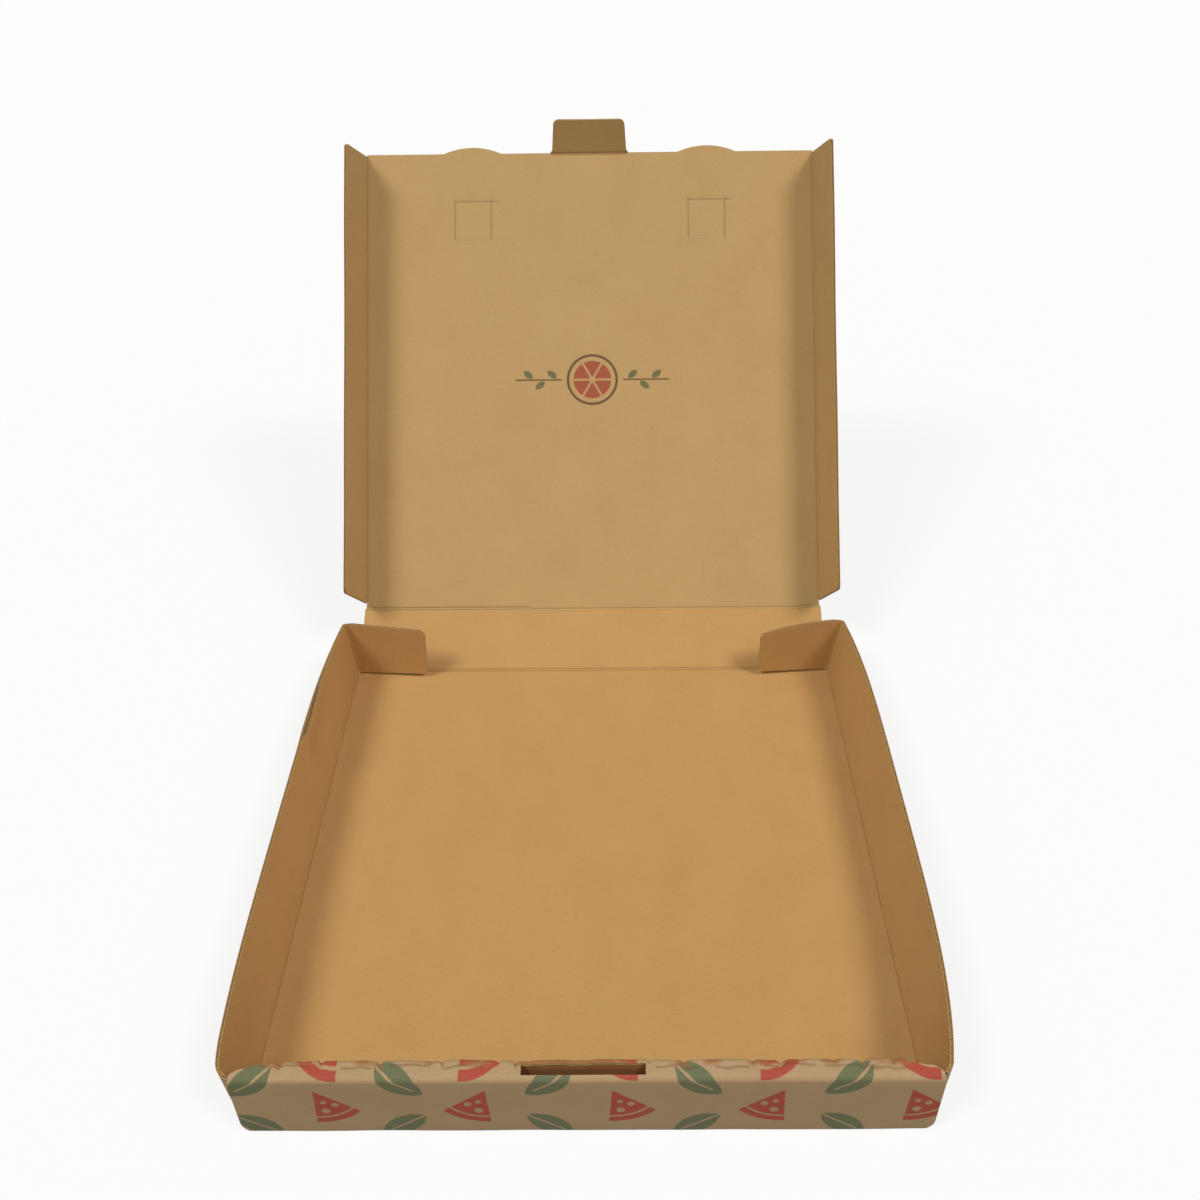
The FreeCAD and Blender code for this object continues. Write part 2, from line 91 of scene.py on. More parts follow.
FRONT_Y = -155.5          # the rolled front wall's outer panel
STRIP_Z = 41.2            # the strip along its top
INNER_Y = -149.1          # its inner panel
FRONT_HALF = 152.5        # half its width

REAR_CREASE = 155.5       # floor to rear wall
REAR_HALF = 151.5         # half the rear wall's width
REAR_TILT = math.radians(30)         # its lean, up from level
REAR_LONG = 43.9          # crease to crease
LID_CREASE = REAR_CREASE + REAR_LONG
LID_TILT = math.radians(50.5)        # the lid's lean, up from level
LID_LONG = 307.5
LID_HALF = 151.0          # its side creases
SIDE_FOLD = math.radians(81)         # how far the side flaps are folded in
SIDE_WIDE = 37.5
TAB_CREASE = LID_CREASE + 307.0
TAB_FOLD = math.radians(45)          # how far the lock tab is folded in
TAB_HALF = 25.0
VENT_CREASE = LID_CREASE + 249.0     # where the vent flaps bend
VENT_FRONT = LID_CREASE + 274.8      # and where they are cut off
VENT_X, VENT_HALF = 78.6, 12.2
SIDES = ((-1, "left"), (1, "right"))

X = Vector((1, 0, 0))
MATH, VECTOR = "ShaderNodeMath", "ShaderNodeVectorMath"


class Profile:
    """A folded strip seen from its side: straight legs with rounded corners, walked by distance."""

    def __init__(self, corners, *radii):
        self.runs = []
        walked = 0.0
        here = Vector(corners[0])
        for before, corner, after, radius in zip(corners, corners[1:], corners[2:], radii):
            into = (Vector(corner) - Vector(before)).normalized()
            out = (Vector(after) - Vector(corner)).normalized()
            turn = math.atan2(into.x * out.y - into.y * out.x, into.dot(out))
            setback = radius * math.tan(abs(turn) / 2)
            stop = Vector(corner) - into * setback
            self.runs.append((walked, here, into, 0.0, 0.0))
            walked += (stop - here).length
            self.runs.append((walked, stop, into, turn, radius))
            walked += radius * abs(turn)
            here = Vector(corner) + out * setback
        self.runs.append((walked, here, out, 0.0, 0.0))

    def at(self, distance):
        start, here, into, turn, radius = [run for run in self.runs if run[0] <= distance][-1]
        along = distance - start
        if not turn:
            return here + into * along
        left = Vector((-into.y, into.x)) * math.copysign(radius, turn)
        return here + into * radius * math.sin(along / radius) + left * (1 - math.cos(along / radius))


def smooth(value, low, high):
    """0 below low and 1 above high, with an S-shaped rise between them."""
    share = min(max((value - low) / (high - low), 0.0), 1.0)
    return share * share * (3 - 2 * share)


def ripple(s, t, size, seed):
    """A soft random height, between about -1 and 1, that changes over `size` millimetres."""
    return noise.noise(Vector((s / size, t / size, seed)))


# ---- where each panel's middle lies ----

def wall_middle(side, share, far):
    """A side wall and the hidden flap round its front corner; share is up it, far is from its rear."""
    rear, middle, front = SPLAY[side]
    radius = CORNER_FOOT + (CORNER_TOP - CORNER_FOOT) * share
    straight = WALL_REAR - FLAP_LINE_Y - radius
    height = WALL_LOW + WALL_RISE * share
    if far <= straight:
        along = far / straight
        end = rear if along < 0.5 else front
        splay = end + (middle - end) * (1 - abs(2 * along - 1) ** 4)
        return Vector((side * (FLOOR_HALF + share * splay), WALL_REAR - far, height))
    outer = FLOOR_HALF + share * front
    angle = (far - straight) / radius
    if angle < math.pi / 2:
        x = outer - radius * (1 - math.cos(angle))
        return Vector((side * x, FLAP_LINE_Y + radius * (1 - math.sin(angle)), height))
    x = outer - radius - (far - straight - radius * math.pi / 2)
    return Vector((side * x, FLAP_LINE_Y, height))


def sprung_in(side, share, far):
    """How far the left wall's top has sprung inwards, where its outer paper has torn loose."""
    if side > 0:
        return 0.0
    along = smooth(far, TORN_START + 2, TORN_START + 60) * smooth(TORN_END - 1 - far, 0, 12)
    return SPRUNG * smooth(share, 0.6, 1.0) * along


def tray_middle(s, t):
    """The floor, which has lifted softly in places, the side creases and the side walls."""
    side = 1 if s > 0 else -1
    out = abs(s)
    if out <= FLOOR_HALF - FOLD:
        lift = 0.4 * max(ripple(s, t, size=70, seed=3.1), 0.0)
        lift *= smooth(FLOOR_HALF - out, 2, 30) * smooth(150 - abs(t), 0, 30)
        return Vector((s, t, FLOOR_MIDDLE + lift))
    if out <= WALL_FOOT:
        angle = (out - FLOOR_HALF + FOLD) / FOLD
        x = FLOOR_HALF - FOLD + FOLD * math.sin(angle)
        return Vector((side * x, t, FLOOR_MIDDLE + FOLD * (1 - math.cos(angle))))
    share, far = (out - WALL_FOOT) / WALL_FLAT, WALL_REAR - t
    return wall_middle(side, share, far) - X * side * sprung_in(side, share, far)


FRONT_START = -100.0      # the front wall's side view starts here, in the floor
FRONT_PROFILE = Profile([(FRONT_START, FLOOR_MIDDLE), (FRONT_Y, FLOOR_MIDDLE), (FRONT_Y, STRIP_Z),
                         (INNER_Y, STRIP_Z), (INNER_Y, 0)], FOLD, WIDE_FOLD, FOLD)
FRONT_SEAM, FRONT_FOOT, OUTER_TOP, STRIP_FRONT, STRIP_REAR, INNER_TOP = (
    FRONT_START - run[0] for run in FRONT_PROFILE.runs[1:])
ABOVE_FLOOR = 1.9         # height of the inner panel's foot
INNER_FOOT = INNER_TOP - (STRIP_Z - FOLD - ABOVE_FLOOR)
# the lock tab's slot in the flat sheet: from and to across the box, from and to along it
SLOT = (-27.6, 25.6, STRIP_REAR + 0.2, STRIP_FRONT + 0.6)
SPRUNG_BACK, SPRUNG_UP = 1.5, 0.9    # how far the rolled fold has sprung from the straight
# where the rolled fold is torn and pinched: place across the box, width, depth
PINCHES = [(-131, 3, 1.7), (-113, 2, 1.0), (-88, 3, 1.5), (-61, 2, 1.3), (-37, 3, 0.9),
           (-30, 1.5, 1.1), (27, 2, 1.0), (42, 3, 1.4), (71, 2, 1.0), (83, 3, 1.6), (106, 2, 0.9),
           (118, 3, 1.5), (131, 2, 1.2)]
# where its printed paper is creased sharp: from, to, how far in front of the fold
SHARP_CREASES = [(-139, -117, 0.6), (-104, -91, 1.1), (-84, -66, 0.5), (-60, -44, 0.9), (-26, 20, 0.3),
                 (30, 48, 0.8), (55, 69, 1.3), (76, 98, 0.6), (101, 124, 0.9), (121, 136, 1.6)]


def rolled_over(t):
    """1 at the rear fold of the rolled front wall, and 0 on its two upright panels."""
    return smooth(OUTER_TOP - t, 2.5, 7.5) * smooth(t - INNER_TOP, -9, 1.5)


def pinched(s):
    """How deep the rolled fold is pinched at that place across the box."""
    return sum(deep * math.exp(-((s - at) / wide * 2) ** 2) for at, wide, deep in PINCHES)


def front_middle(s, t):
    """The rolled front wall: it springs up and back at its rear fold, and is crumpled there."""
    spot = FRONT_PROFILE.at(FRONT_START - t)
    rolled = rolled_over(t)
    crumple = 0.9 * ripple(s, t, size=13, seed=7.7) + 0.45 * ripple(s, t, size=3.2, seed=2.9)
    pinch = pinched(s)
    foot = smooth(t - FRONT_SEAM, -5, -1)
    wave = 0.35 * ripple(s, 0, size=34, seed=5.3)
    curl = 0.7 * smooth(s, 138, 150) * smooth(OUTER_TOP - t, 1, 4) * smooth(t - STRIP_REAR, -3, 0)
    y = spot.x + rolled * (SPRUNG_BACK + 0.75 * crumple - 0.8 * pinch) + foot * wave * 0.6
    z = spot.y + rolled * (SPRUNG_UP - 0.5 * abs(crumple) - 0.75 * pinch) + curl
    return Vector((s, y, z + max(wave, 0) * foot))


def front_marks_and_slot_shade(s, t, inside):
    """1 where the front wall is painted brown, and 2 where it is painted dark brown.

    The rolled fold is brown in broken lengths along it. Behind the slot, painted shade makes the fold's
    outside and the inner panel's face brown, and the inner panel dark brown further down.
    """
    if inside:
        # painted shade seen through the slot on the inner panel's face: brown, then dark brown further down
        behind_slot = smooth(s, SLOT[0] - 2, SLOT[0]) * smooth(SLOT[1] - s, -2, 0)
        return behind_slot * smooth(STRIP_REAR - t, -0.5, 0.3) * (1 + smooth(INNER_TOP - t, 1.0, 4.0))
    # brown in broken lengths along the rear fold
    near = math.exp(-((t - STRIP_REAR + 0.4) / 1.1) ** 2)
    broken_lengths = ripple(s, t * 2, size=10, seed=9.1) + 0.30 * pinched(s)
    fold_line_marks = near * smooth(broken_lengths, -0.05, 0.30)
    # painted shade on the fold's outside behind the slot
    above_slot = smooth(s, -25, -20) * smooth(16 - s, 0, 5) * smooth(t - INNER_TOP, -2.5, 0)
    return max(fold_line_marks, above_slot * smooth(STRIP_REAR - t, -0.6, 0.1))


def sharp_crease(ahead):
    """A crease in the printed paper, which runs a little unevenly in front of the fold."""
    return lambda s: STRIP_REAR + ahead + 0.9 * ripple(s, ahead, size=7, seed=6.2)


REAR_START = REAR_CREASE - LEAD_IN
REAR_DIRECTION = Vector((math.cos(REAR_TILT), math.sin(REAR_TILT)))
LID_DIRECTION = Vector((math.cos(LID_TILT), math.sin(LID_TILT)))
REAR_FOOT = Vector((REAR_CREASE, FLOOR_MIDDLE))
LID_FOOT = REAR_FOOT + REAR_DIRECTION * REAR_LONG
REAR_PROFILE = Profile([(REAR_START, FLOOR_MIDDLE), REAR_FOOT, LID_FOOT], WIDE_FOLD)
LID_PROFILE = Profile([LID_FOOT - REAR_DIRECTION * LEAD_IN, LID_FOOT, LID_FOOT + LID_DIRECTION * 400],
                      WIDE_FOLD)
SIDE_PROFILE = Profile([(LID_HALF - LEAD_IN, 0), (LID_HALF, 0),
                        (LID_HALF + 50 * math.cos(SIDE_FOLD), 50 * math.sin(SIDE_FOLD))], 1.5)
TAB_PROFILE = Profile([(-LEAD_IN, 0), (0, 0), (50 * math.cos(TAB_FOLD), 50 * math.sin(TAB_FOLD))], 1.3)
LID_WAY = Vector((0, LID_DIRECTION.x, LID_DIRECTION.y))
LID_INSIDE = Vector((0, -LID_DIRECTION.y, LID_DIRECTION.x))
LID_HINGE = Vector((0, LID_FOOT.x, LID_FOOT.y))


def rear_middle(s, t):
    spot = REAR_PROFILE.at(t - REAR_START)
    return Vector((s, spot.x, spot.y))


def lid_middle(s, t):
    """The lid has dried a little wavy, but for its edges."""
    spot = LID_PROFILE.at(t - LID_CREASE + LEAD_IN)
    edge = smooth(LID_HALF - abs(s), 3, 40) * smooth(t - LID_CREASE, 8, 50) * smooth(TAB_CREASE - t, 6, 60)
    swell = edge * (0.55 * ripple(s, t, size=95, seed=1.7) + 0.25 * ripple(s, t, size=38, seed=8.2))
    return Vector((s, spot.x, spot.y)) + LID_INSIDE * swell


def side_flap_middle(s, t):
    """A side flap, folded in at the lid's side crease and bowed a little at its free edge."""
    side = 1 if s > 0 else -1
    spot = SIDE_PROFILE.at(abs(s) - LID_HALF + LEAD_IN)
    bow = 0.5 * smooth(abs(s), LID_HALF + 6, LID_HALF + SIDE_WIDE) * ripple(side * 9, t, size=90, seed=4.4)
    return LID_HINGE + LID_WAY * (t - LID_CREASE) + X * side * (spot.x + bow) + LID_INSIDE * spot.y


def tab_middle(s, t):
    """The lock tab's corners curl a little towards the inside."""
    spot = TAB_PROFILE.at(t - TAB_CREASE + LEAD_IN)
    curl = 0.5 * smooth(t, TAB_CREASE + 5, TAB_CREASE + 25) * (s / TAB_HALF) ** 2
    way = LID_WAY * (TAB_CREASE - LID_CREASE + spot.x) + LID_INSIDE * (spot.y + curl)
    return LID_HINGE + X * s + way


CORNER_AXIS_X, CORNER_AXIS_Y = 152.2, 152.725   # the foot of a rear corner flap's crease
CORNER_OFF = 0.125        # gap between that crease and the flap's face
CORNER_PAST = math.radians(6)        # how far past square the flap is folded
CORNER_BEND = 1.5         # board on each side of a corner flap's crease that takes the bend


def corner_flap_point(side, height, out):
    """A point of the corner flap's middle: its height, and how far it is from the flap's crease."""
    lean = SPLAY[side][0] / WALL_RISE
    foot = Vector((side * CORNER_AXIS_X, CORNER_AXIS_Y, WALL_LOW))
    up = height - WALL_LOW
    square = Vector((side * (lean * up - out), HALF + CORNER_OFF, up))
    axis = Vector((side * SPLAY[side][0], 0, WALL_RISE)).normalized()
    return foot + Matrix.Rotation(CORNER_PAST * side, 3, axis) @ square


def corner_flap_middle(s, t):
    """The wall's rear end, a rounded bend, and the flap; a curve with one middle point makes the bend."""
    side = 1 if s > 0 else -1
    share = (abs(s) - WALL_FOOT) / WALL_FLAT
    height = WALL_LOW + WALL_RISE * share
    out = t - WALL_REAR
    if out <= -CORNER_BEND:
        return wall_middle(side, share, -out)
    if out >= CORNER_BEND:
        return corner_flap_point(side, height, out)
    first = wall_middle(side, share, CORNER_BEND)
    last = corner_flap_point(side, height, CORNER_BEND)
    corner = Vector((wall_middle(side, share, 0.0).x, corner_flap_point(side, height, 0.0).y, height))
    way = (out + CORNER_BEND) / (2 * CORNER_BEND)
    return first * (1 - way) ** 2 + corner * 2 * way * (1 - way) + last * way ** 2


# ---- a panel of board, from its flat outline ----

def frame_at(middle, s, t):
    """The middle's point, and the way to the board's inside face."""
    across = middle(s + STEP, t) - middle(s - STEP, t)
    along = middle(s, t + STEP) - middle(s, t - STEP)
    return middle(s, t), across.cross(along).normalized()


def arc(centre, radius, start, end, steps):
    """Points on a flat arc; the angles are in degrees."""
    angles = [math.radians(start + (end - start) * n / steps) for n in range(steps + 1)]
    return [(centre[0] + radius * math.cos(a), centre[1] + radius * math.sin(a)) for a in angles]


def steps_between(low, high, about):
    """Even steps from low to high, of about that size."""
    count = max(1, round((high - low) / about))
    return [low + (high - low) * n / count for n in range(count + 1)]


def crease_scores(at):
    """The lines that a pressed crease needs."""
    return [at + d for d in (-2.6, -1.7, -1.2, -0.8, -0.4, 0, 0.4, 0.8, 1.2, 1.7, 2.6)]


def cut_flat(outline, across, along, holes):
    """The outline as a flat mesh, scored across and along, with its holes punched."""
    flat = bmesh.new()
    flat.faces.new([flat.verts.new((s, t, 0)) for s, t in outline])
    for normal, places in (((1, 0, 0), across), ((0, 1, 0), along)):
        for place in places:
            everything = flat.verts[:] + flat.edges[:] + flat.faces[:]
            bmesh.ops.bisect_plane(flat, geom=everything, dist=1e-4,
                                   plane_co=Vector(normal) * place, plane_no=normal)
    for low_s, high_s, low_t, high_t in holes:
        gone = [f for f in flat.faces if low_s < f.calc_center_median().x < high_s
                and low_t < f.calc_center_median().y < high_t]
        bmesh.ops.delete(flat, geom=gone, context="FACES")
    big = [f for f in flat.faces if len(f.verts) > 4]
    bmesh.ops.triangulate(flat, faces=big)
    for face in flat.faces:
        if face.normal.z < 0:
            face.normal_flip()
    flat.verts.index_update()
    return flat


def cut_edges(flat, seam):
    """The flat sheet's cut edges: both ends, the way into the board, and how deep the cut goes in.

    A seam, where two panels of the one sheet meet, is not a cut and has no depth.
    """
    for edge in flat.edges:
        if len(edge.link_faces) == 1:
            a, b = edge.verts
            way = (b.co - a.co).normalized()
            into = Vector((-way.y, way.x, 0))
            if (edge.link_faces[0].calc_center_median() - a.co).dot(into) < 0:
                into = -into
            depth = FLUTED_DEPTH if abs(way.y) > abs(way.x) else CRUSHED_DEPTH
            yield a, b, into, 0.0 if seam and seam(*((a.co + b.co) / 2).xy) else depth


def cut_corners(flat, seam):
    """For each vertex on a cut edge: how far into the board the cut goes there."""
    inward = {}
    for a, b, into, depth in cut_edges(flat, seam):
        for vert in (a, b):
            inward.setdefault(vert.index, []).append((into, depth))
    corners = {}
    for index, sides in inward.items():
        (one, deep), (two, deeper) = sides[0], sides[-1]
        corners[index] = one * deep if one.dot(two) > 0.99 else one * deep + two * deeper
    return corners


def make_board(name, outline, middle, across, along, holes=(), seam=None, creases=(), knife=(),
               marks_and_slot_shade=None):
    """A closed panel of board: two papers, its cut edges open between them, its creases pressed in.

    A crease or a knife cut is (the axis it is placed on, its place, from, to, its depth).
    """
    flat = cut_flat(outline, across, along, holes)
    corners = cut_corners(flat, seam)
    solid = bmesh.new()
    uv = solid.loops.layers.uv.new("sheet")
    layers = {tag: solid.verts.layers.float.new(tag) for tag in ("crease", "knife", "marks_and_slot_shade")}
    spots = {}

    def pushed(marks, s, t, beside, wide):
        """How far the paper is pushed in: a rule leaves two fine lines, a knife leaves one."""
        push = 0.0
        for axis, at, low, high, deep in marks:
            place, other = (s, t) if axis == "s" else (t, s)
            line = at(other) if callable(at) else at
            if low <= other <= high:
                push += deep * math.exp(-((abs(place - line) - beside) / wide) ** 2)
        return push

    def vertex(s, t, height, ruled=0.0, cut=0.0):
        spot, inside = frame_at(middle, s, t)
        depth = height - math.copysign(ruled + cut, height)
        vert = solid.verts.new((spot + inside * depth) * MM)
        # painted shade along creases and knife cuts, darker the deeper they are pressed in; then the front
        # wall's brown marks and painted slot shade
        vert[layers["crease"]] = min(1.0, ruled / FULL_MARK)
        vert[layers["knife"]] = min(1.0, cut / FULL_MARK)
        vert[layers["marks_and_slot_shade"]] = marks_and_slot_shade(s, t, height > 0) if marks_and_slot_shade else 0.0
        spots[vert] = (s, t)
        return vert

    rows = {}
    for vert in flat.verts:
        s, t = vert.co.xy
        ruled = pushed(creases, s, t, beside=0.9, wide=0.4)
        cut = pushed(knife, s, t, beside=0.0, wide=0.3)
        if vert.index not in corners:
            rows[vert.index] = [vertex(s, t, HALF, ruled, cut), vertex(s, t, -HALF, ruled, cut)]
            continue
        into = corners[vert.index]
        in_s, in_t = s + into.x, t + into.y
        lip = HALF - LINER - ruled
        rows[vert.index] = [
            vertex(s, t, HALF, ruled, min(cut, 0.1)), vertex(s, t, lip), vertex(in_s, in_t, lip),
            vertex(in_s, in_t, -lip), vertex(s, t, -lip), vertex(s, t, -HALF, ruled)]

    def face(verts, material):
        made = solid.faces.new(verts)
        made.material_index = material
        made.smooth = True
        for loop in made.loops:
            loop[uv].uv = (spots[loop.vert][0] * MM, spots[loop.vert][1] * MM)

    for part in flat.faces:
        ring = [v.index for v in part.verts]
        face([rows[i][0] for i in ring], 0)
        face([rows[i][-1] for i in reversed(ring)], 1)
        for loop in part.loops:
            if len(loop.edge.link_faces) == 1:
                here, there = rows[loop.vert.index], rows[loop.link_loop_next.vert.index]
                for k in range(len(here) - 1):
                    face([here[k], here[k + 1], there[k + 1], there[k]], 2)
    mesh = bpy.data.meshes.new(name)
    solid.to_mesh(mesh)
    mesh.set_sharp_from_angle(angle=SHARP_FROM)
    runs = [(a.co.copy(), b.co.copy(), into) for a, b, into, depth in cut_edges(flat, seam)
            if depth == FLUTED_DEPTH]
    flat.free()
    solid.free()
    piece = bpy.data.objects.new(name, mesh)
    bpy.context.scene.collection.objects.link(piece)
    if runs:
        add_flutes(piece, runs, middle)
    return piece


def add_node(tree, kind, inputs=(), **settings):
    """One node with its settings. Its inputs, by place or by name, are set or linked to what is given."""
    node = tree.nodes.new(kind)
    for name, value in settings.items():
        setattr(node, name, value)
    for key, value in (inputs.items() if isinstance(inputs, dict) else enumerate(inputs)):
        if isinstance(value, bpy.types.Node):
            value = next(out for out in value.outputs if out.enabled)
        if isinstance(value, bpy.types.NodeSocket):
            tree.links.new(value, node.inputs[key])
        else:
            node.inputs[key].default_value = value
    return node


def flute_tree():
    """Geometry nodes: a line along a cut edge becomes the fluted paper that stands in the cut."""
    tree = bpy.data.node_groups.new("fluted_paper", "GeometryNodeTree")
    add = partial(add_node, tree)
    sockets = tree.interface
    sockets.new_socket("Cut edge", in_out="INPUT", socket_type="NodeSocketGeometry")
    for name, value in (("Flute height", 0.4 * MM), ("Flute pitch", FLUTE * MM), ("Depth", 0.5 * MM)):
        sockets.new_socket(name, in_out="INPUT", socket_type="NodeSocketFloat").default_value = value
    sockets.new_socket("Paper", in_out="INPUT", socket_type="NodeSocketMaterial")
    sockets.new_socket("Flutes", in_out="OUTPUT", socket_type="NodeSocketGeometry")
    given = add("NodeGroupInput").outputs
    run = add("GeometryNodeInputNamedAttribute", {"Name": "run"}, data_type="FLOAT")
    across = add("GeometryNodeInputNamedAttribute", {"Name": "across"}, data_type="FLOAT_VECTOR")
    into = add("GeometryNodeInputNamedAttribute", {"Name": "into"}, data_type="FLOAT_VECTOR")
    turns = add(MATH, (run.outputs["Attribute"], given["Flute pitch"]), operation="DIVIDE")
    wave = add(MATH, (add(MATH, (turns, math.tau), operation="MULTIPLY"),), operation="SINE")
    height = add(MATH, (wave, given["Flute height"]), operation="MULTIPLY")
    lift = add(VECTOR, {0: across.outputs["Attribute"], "Scale": height}, operation="SCALE")
    waved = add("GeometryNodeSetPosition", {"Geometry": given["Cut edge"], "Offset": lift})
    deep = add(VECTOR, {0: into.outputs["Attribute"], "Scale": given["Depth"]}, operation="SCALE")
    sheet = add("GeometryNodeExtrudeMesh", {"Mesh": waved, "Offset": deep}, mode="EDGES")
    real = add("GeometryNodeRealizeInstances", {"Geometry": sheet.outputs["Mesh"]})
    paper = add("GeometryNodeSetMaterial", {"Geometry": real, "Material": given["Paper"]})
    add("NodeGroupOutput", {"Flutes": paper})
    return tree


def add_flutes(piece, runs, middle):
    """Stands the fluted paper in the piece's open cuts, and joins it to the piece."""
    lines = bmesh.new()
    run = lines.verts.layers.float.new("run")
    across = lines.verts.layers.float_vector.new("across")
    into_board = lines.verts.layers.float_vector.new("into")
    for start, end, into in runs:
        count = max(1, math.ceil((end - start).length / (FLUTE / FLUTE_POINTS)))
        last = None
        for n in range(count + 1):
            s, t = start.lerp(end, n / count).xy
            spot, inside = frame_at(middle, s, t)
            inner = middle(s + into.x * STEP, t + into.y * STEP) - spot
            way = inner.normalized()
            vert = lines.verts.new((spot + way * SET_BACK) * MM)
            vert[run], vert[across], vert[into_board] = t * MM, inside, way
            if last:
                lines.edges.new((last, vert))
            last = vert
    bmesh.ops.remove_doubles(lines, verts=lines.verts[:], dist=1e-6)
    mesh = bpy.data.meshes.new("cut_lines")
    lines.to_mesh(mesh)
    lines.free()
    cut = bpy.data.objects.new("cut_lines", mesh)
    bpy.context.scene.collection.objects.link(cut)
    flutes = cut.modifiers.new("flutes", "NODES")
    flutes.node_group = FLUTE_TREE
    names = {item.name: item.identifier for item in FLUTE_TREE.interface.items_tree}
    flutes[names["Flute height"]] = (HALF - LINER - WEB / 2) * MM
    flutes[names["Depth"]] = (FLUTED_DEPTH - SET_BACK - 0.02) * MM
    flutes[names["Paper"]] = MEDIUM
    thick = cut.modifiers.new("paper", "SOLIDIFY")
    thick.thickness = WEB * MM
    thick.offset = 0
    ready = cut.evaluated_get(bpy.context.evaluated_depsgraph_get())
    web = bpy.data.meshes.new_from_object(ready)
    bpy.data.objects.remove(cut)
    both = bmesh.new()
    both.from_mesh(piece.data)
    first = len(both.faces)
    both.from_mesh(web)
    both.faces.ensure_lookup_table()
    for face in both.faces[first:]:
        face.material_index = 3
    both.to_mesh(piece.data)
    both.free()
    for name in ("run", "across", "into"):
        if name in piece.data.attributes:
            piece.data.attributes.remove(piece.data.attributes[name])


# ---- materials ----

PAPER_IOR = 1.45


def colour(code):
    """An sRGB hex colour as linear RGBA."""
    parts = [int(code[n:n + 2], 16) / 255 for n in (1, 3, 5)]
    return [c / 12.92 if c <= 0.04045 else ((c + 0.055) / 1.055) ** 2.4 for c in parts] + [1]


def new_material(name, values):
    """A material with one shader, whose named sockets are set to the values."""
    material = bpy.data.materials.new(name)
    material.use_nodes = True
    material.node_tree.nodes.clear()
    add = partial(add_node, material.node_tree)
    shader = add("ShaderNodeBsdfPrincipled", values)
    add("ShaderNodeOutputMaterial", (shader,))
    return material, add, shader


def feed(taker, name, node):
    """Links a node to a named input of one that was added before it."""
    source = next(out for out in node.outputs if out.enabled)
    taker.id_data.links.new(source, taker.inputs[name])


def tinted(add, paper, share, code):
    """The paper turned towards a colour, by a share."""
    return add("ShaderNodeMix", {0: share, 6: paper, 7: colour(code)}, data_type="RGBA")


def kraft_paper(add, sheet, base, dark, pale):
    """Unbleached kraft: long fibres across the box, soft clouds where the pulp lay thicker, dark specks.

    The fibres of real kraft are 2 to 3 mm long and 0.03 mm thick; they are drawn about ten times as
    thick, to show.
    """
    fibre_size = 2.8
    tone = 0.0
    for stretch, size, detail, strength in (((1, 1, 1), 34, 3, 0.40), ((1, 7, 1), fibre_size, 4, 0.95),
                                            ((1, 24, 1), 9, 2, 0.60), ((3, 1, 1), 90, 2, 0.30)):
        placed = add("ShaderNodeMapping", {"Vector": sheet, "Scale": stretch})
        grain = add("ShaderNodeTexNoise", {"Vector": placed, "Scale": 1 / (size * MM), "Detail": detail,
                                           "Roughness": 0.58})
        part = add(MATH, (add(MATH, (grain, 0.5), operation="SUBTRACT"), strength), operation="MULTIPLY")
        tone = add(MATH, (part, tone), operation="ADD")
        if size == fibre_size:
            fibres = grain
    darker = add(MATH, (tone, 0.0), operation="MAXIMUM")
    paler = add(MATH, (add(MATH, (tone, -1.0), operation="MULTIPLY"), 0.0), operation="MAXIMUM")
    paper = tinted(add, tinted(add, colour(base), darker, dark), paler, pale)
    specks = add("ShaderNodeTexVoronoi", {"Vector": sheet, "Scale": 1 / (6 * MM)})
    speck = add(MATH, (specks, 0.045), operation="LESS_THAN")
    return tinted(add, paper, add(MATH, (speck, 0.4), operation="MULTIPLY"), "#60401f"), fibres


def paper_surface(add, shader, sheet, paper, fibres):
    """Painted shade darkens pressed creases and cuts; the front wall's marks and painted slot shade are
    brown, the deeper slot shade dark brown; ridges show the flutes below.
    """
    # painted shade along creases and knife cuts; brown for the front wall's marks and its painted slot
    # shade
    for tag, code, share in (("crease", "#6d4a26", 0.55), ("knife", "#5a3b1c", 0.75),
                             ("marks_and_slot_shade", "#9a683c", 0.9)):
        near = add("ShaderNodeAttribute", attribute_name=tag).outputs["Fac"]
        paper = tinted(add, paper, add(MATH, (near, share), operation="MULTIPLY"), code)
    # dark brown for the deeper painted shade behind the slot
    marks_and_shade_level = add("ShaderNodeAttribute", attribute_name="marks_and_slot_shade").outputs["Fac"]
    deeper_slot_shade = add(MATH, (marks_and_shade_level, 1.0), operation="SUBTRACT", use_clamp=True)
    paper = tinted(add, paper, add(MATH, (deeper_slot_shade, 0.5), operation="MULTIPLY"), "#4a2c15")
    feed(shader, "Base Color", paper)
    along = add("ShaderNodeSeparateXYZ", {"Vector": sheet}).outputs["Y"]
    turns = add(MATH, (along, math.tau / (FLUTE * MM)), operation="MULTIPLY")
    ridges = add(MATH, (turns,), operation="SINE")
    height = add(MATH, (add(MATH, (ridges, 0.011 * MM), operation="MULTIPLY"),
                        add(MATH, (fibres, 0.035 * MM), operation="MULTIPLY")), operation="ADD")
    bump = add("ShaderNodeBump", {"Height": height, "Strength": 0.6, "Distance": 1.0})
    feed(shader, "Normal", bump)


def inside_paper(name, base, dark, pale, emblem=False):
    """Kraft liner, machine made: matt, warm brown, long fibres, ridges every 3.3 mm over the flutes.

    It is unprinted, but for the small emblem on the lid's.
    """
    material, add, shader = new_material(name, {"Roughness": 0.82, "IOR": PAPER_IOR,
                                                "Specular IOR Level": 0.35})
    sheet = add("ShaderNodeUVMap", uv_map="sheet")
    paper, fibres = kraft_paper(add, sheet, base, dark, pale)
    if emblem:
        paper = print_emblem(add, sheet, paper)
    paper_surface(add, shader, sheet, paper, fibres)
    return material


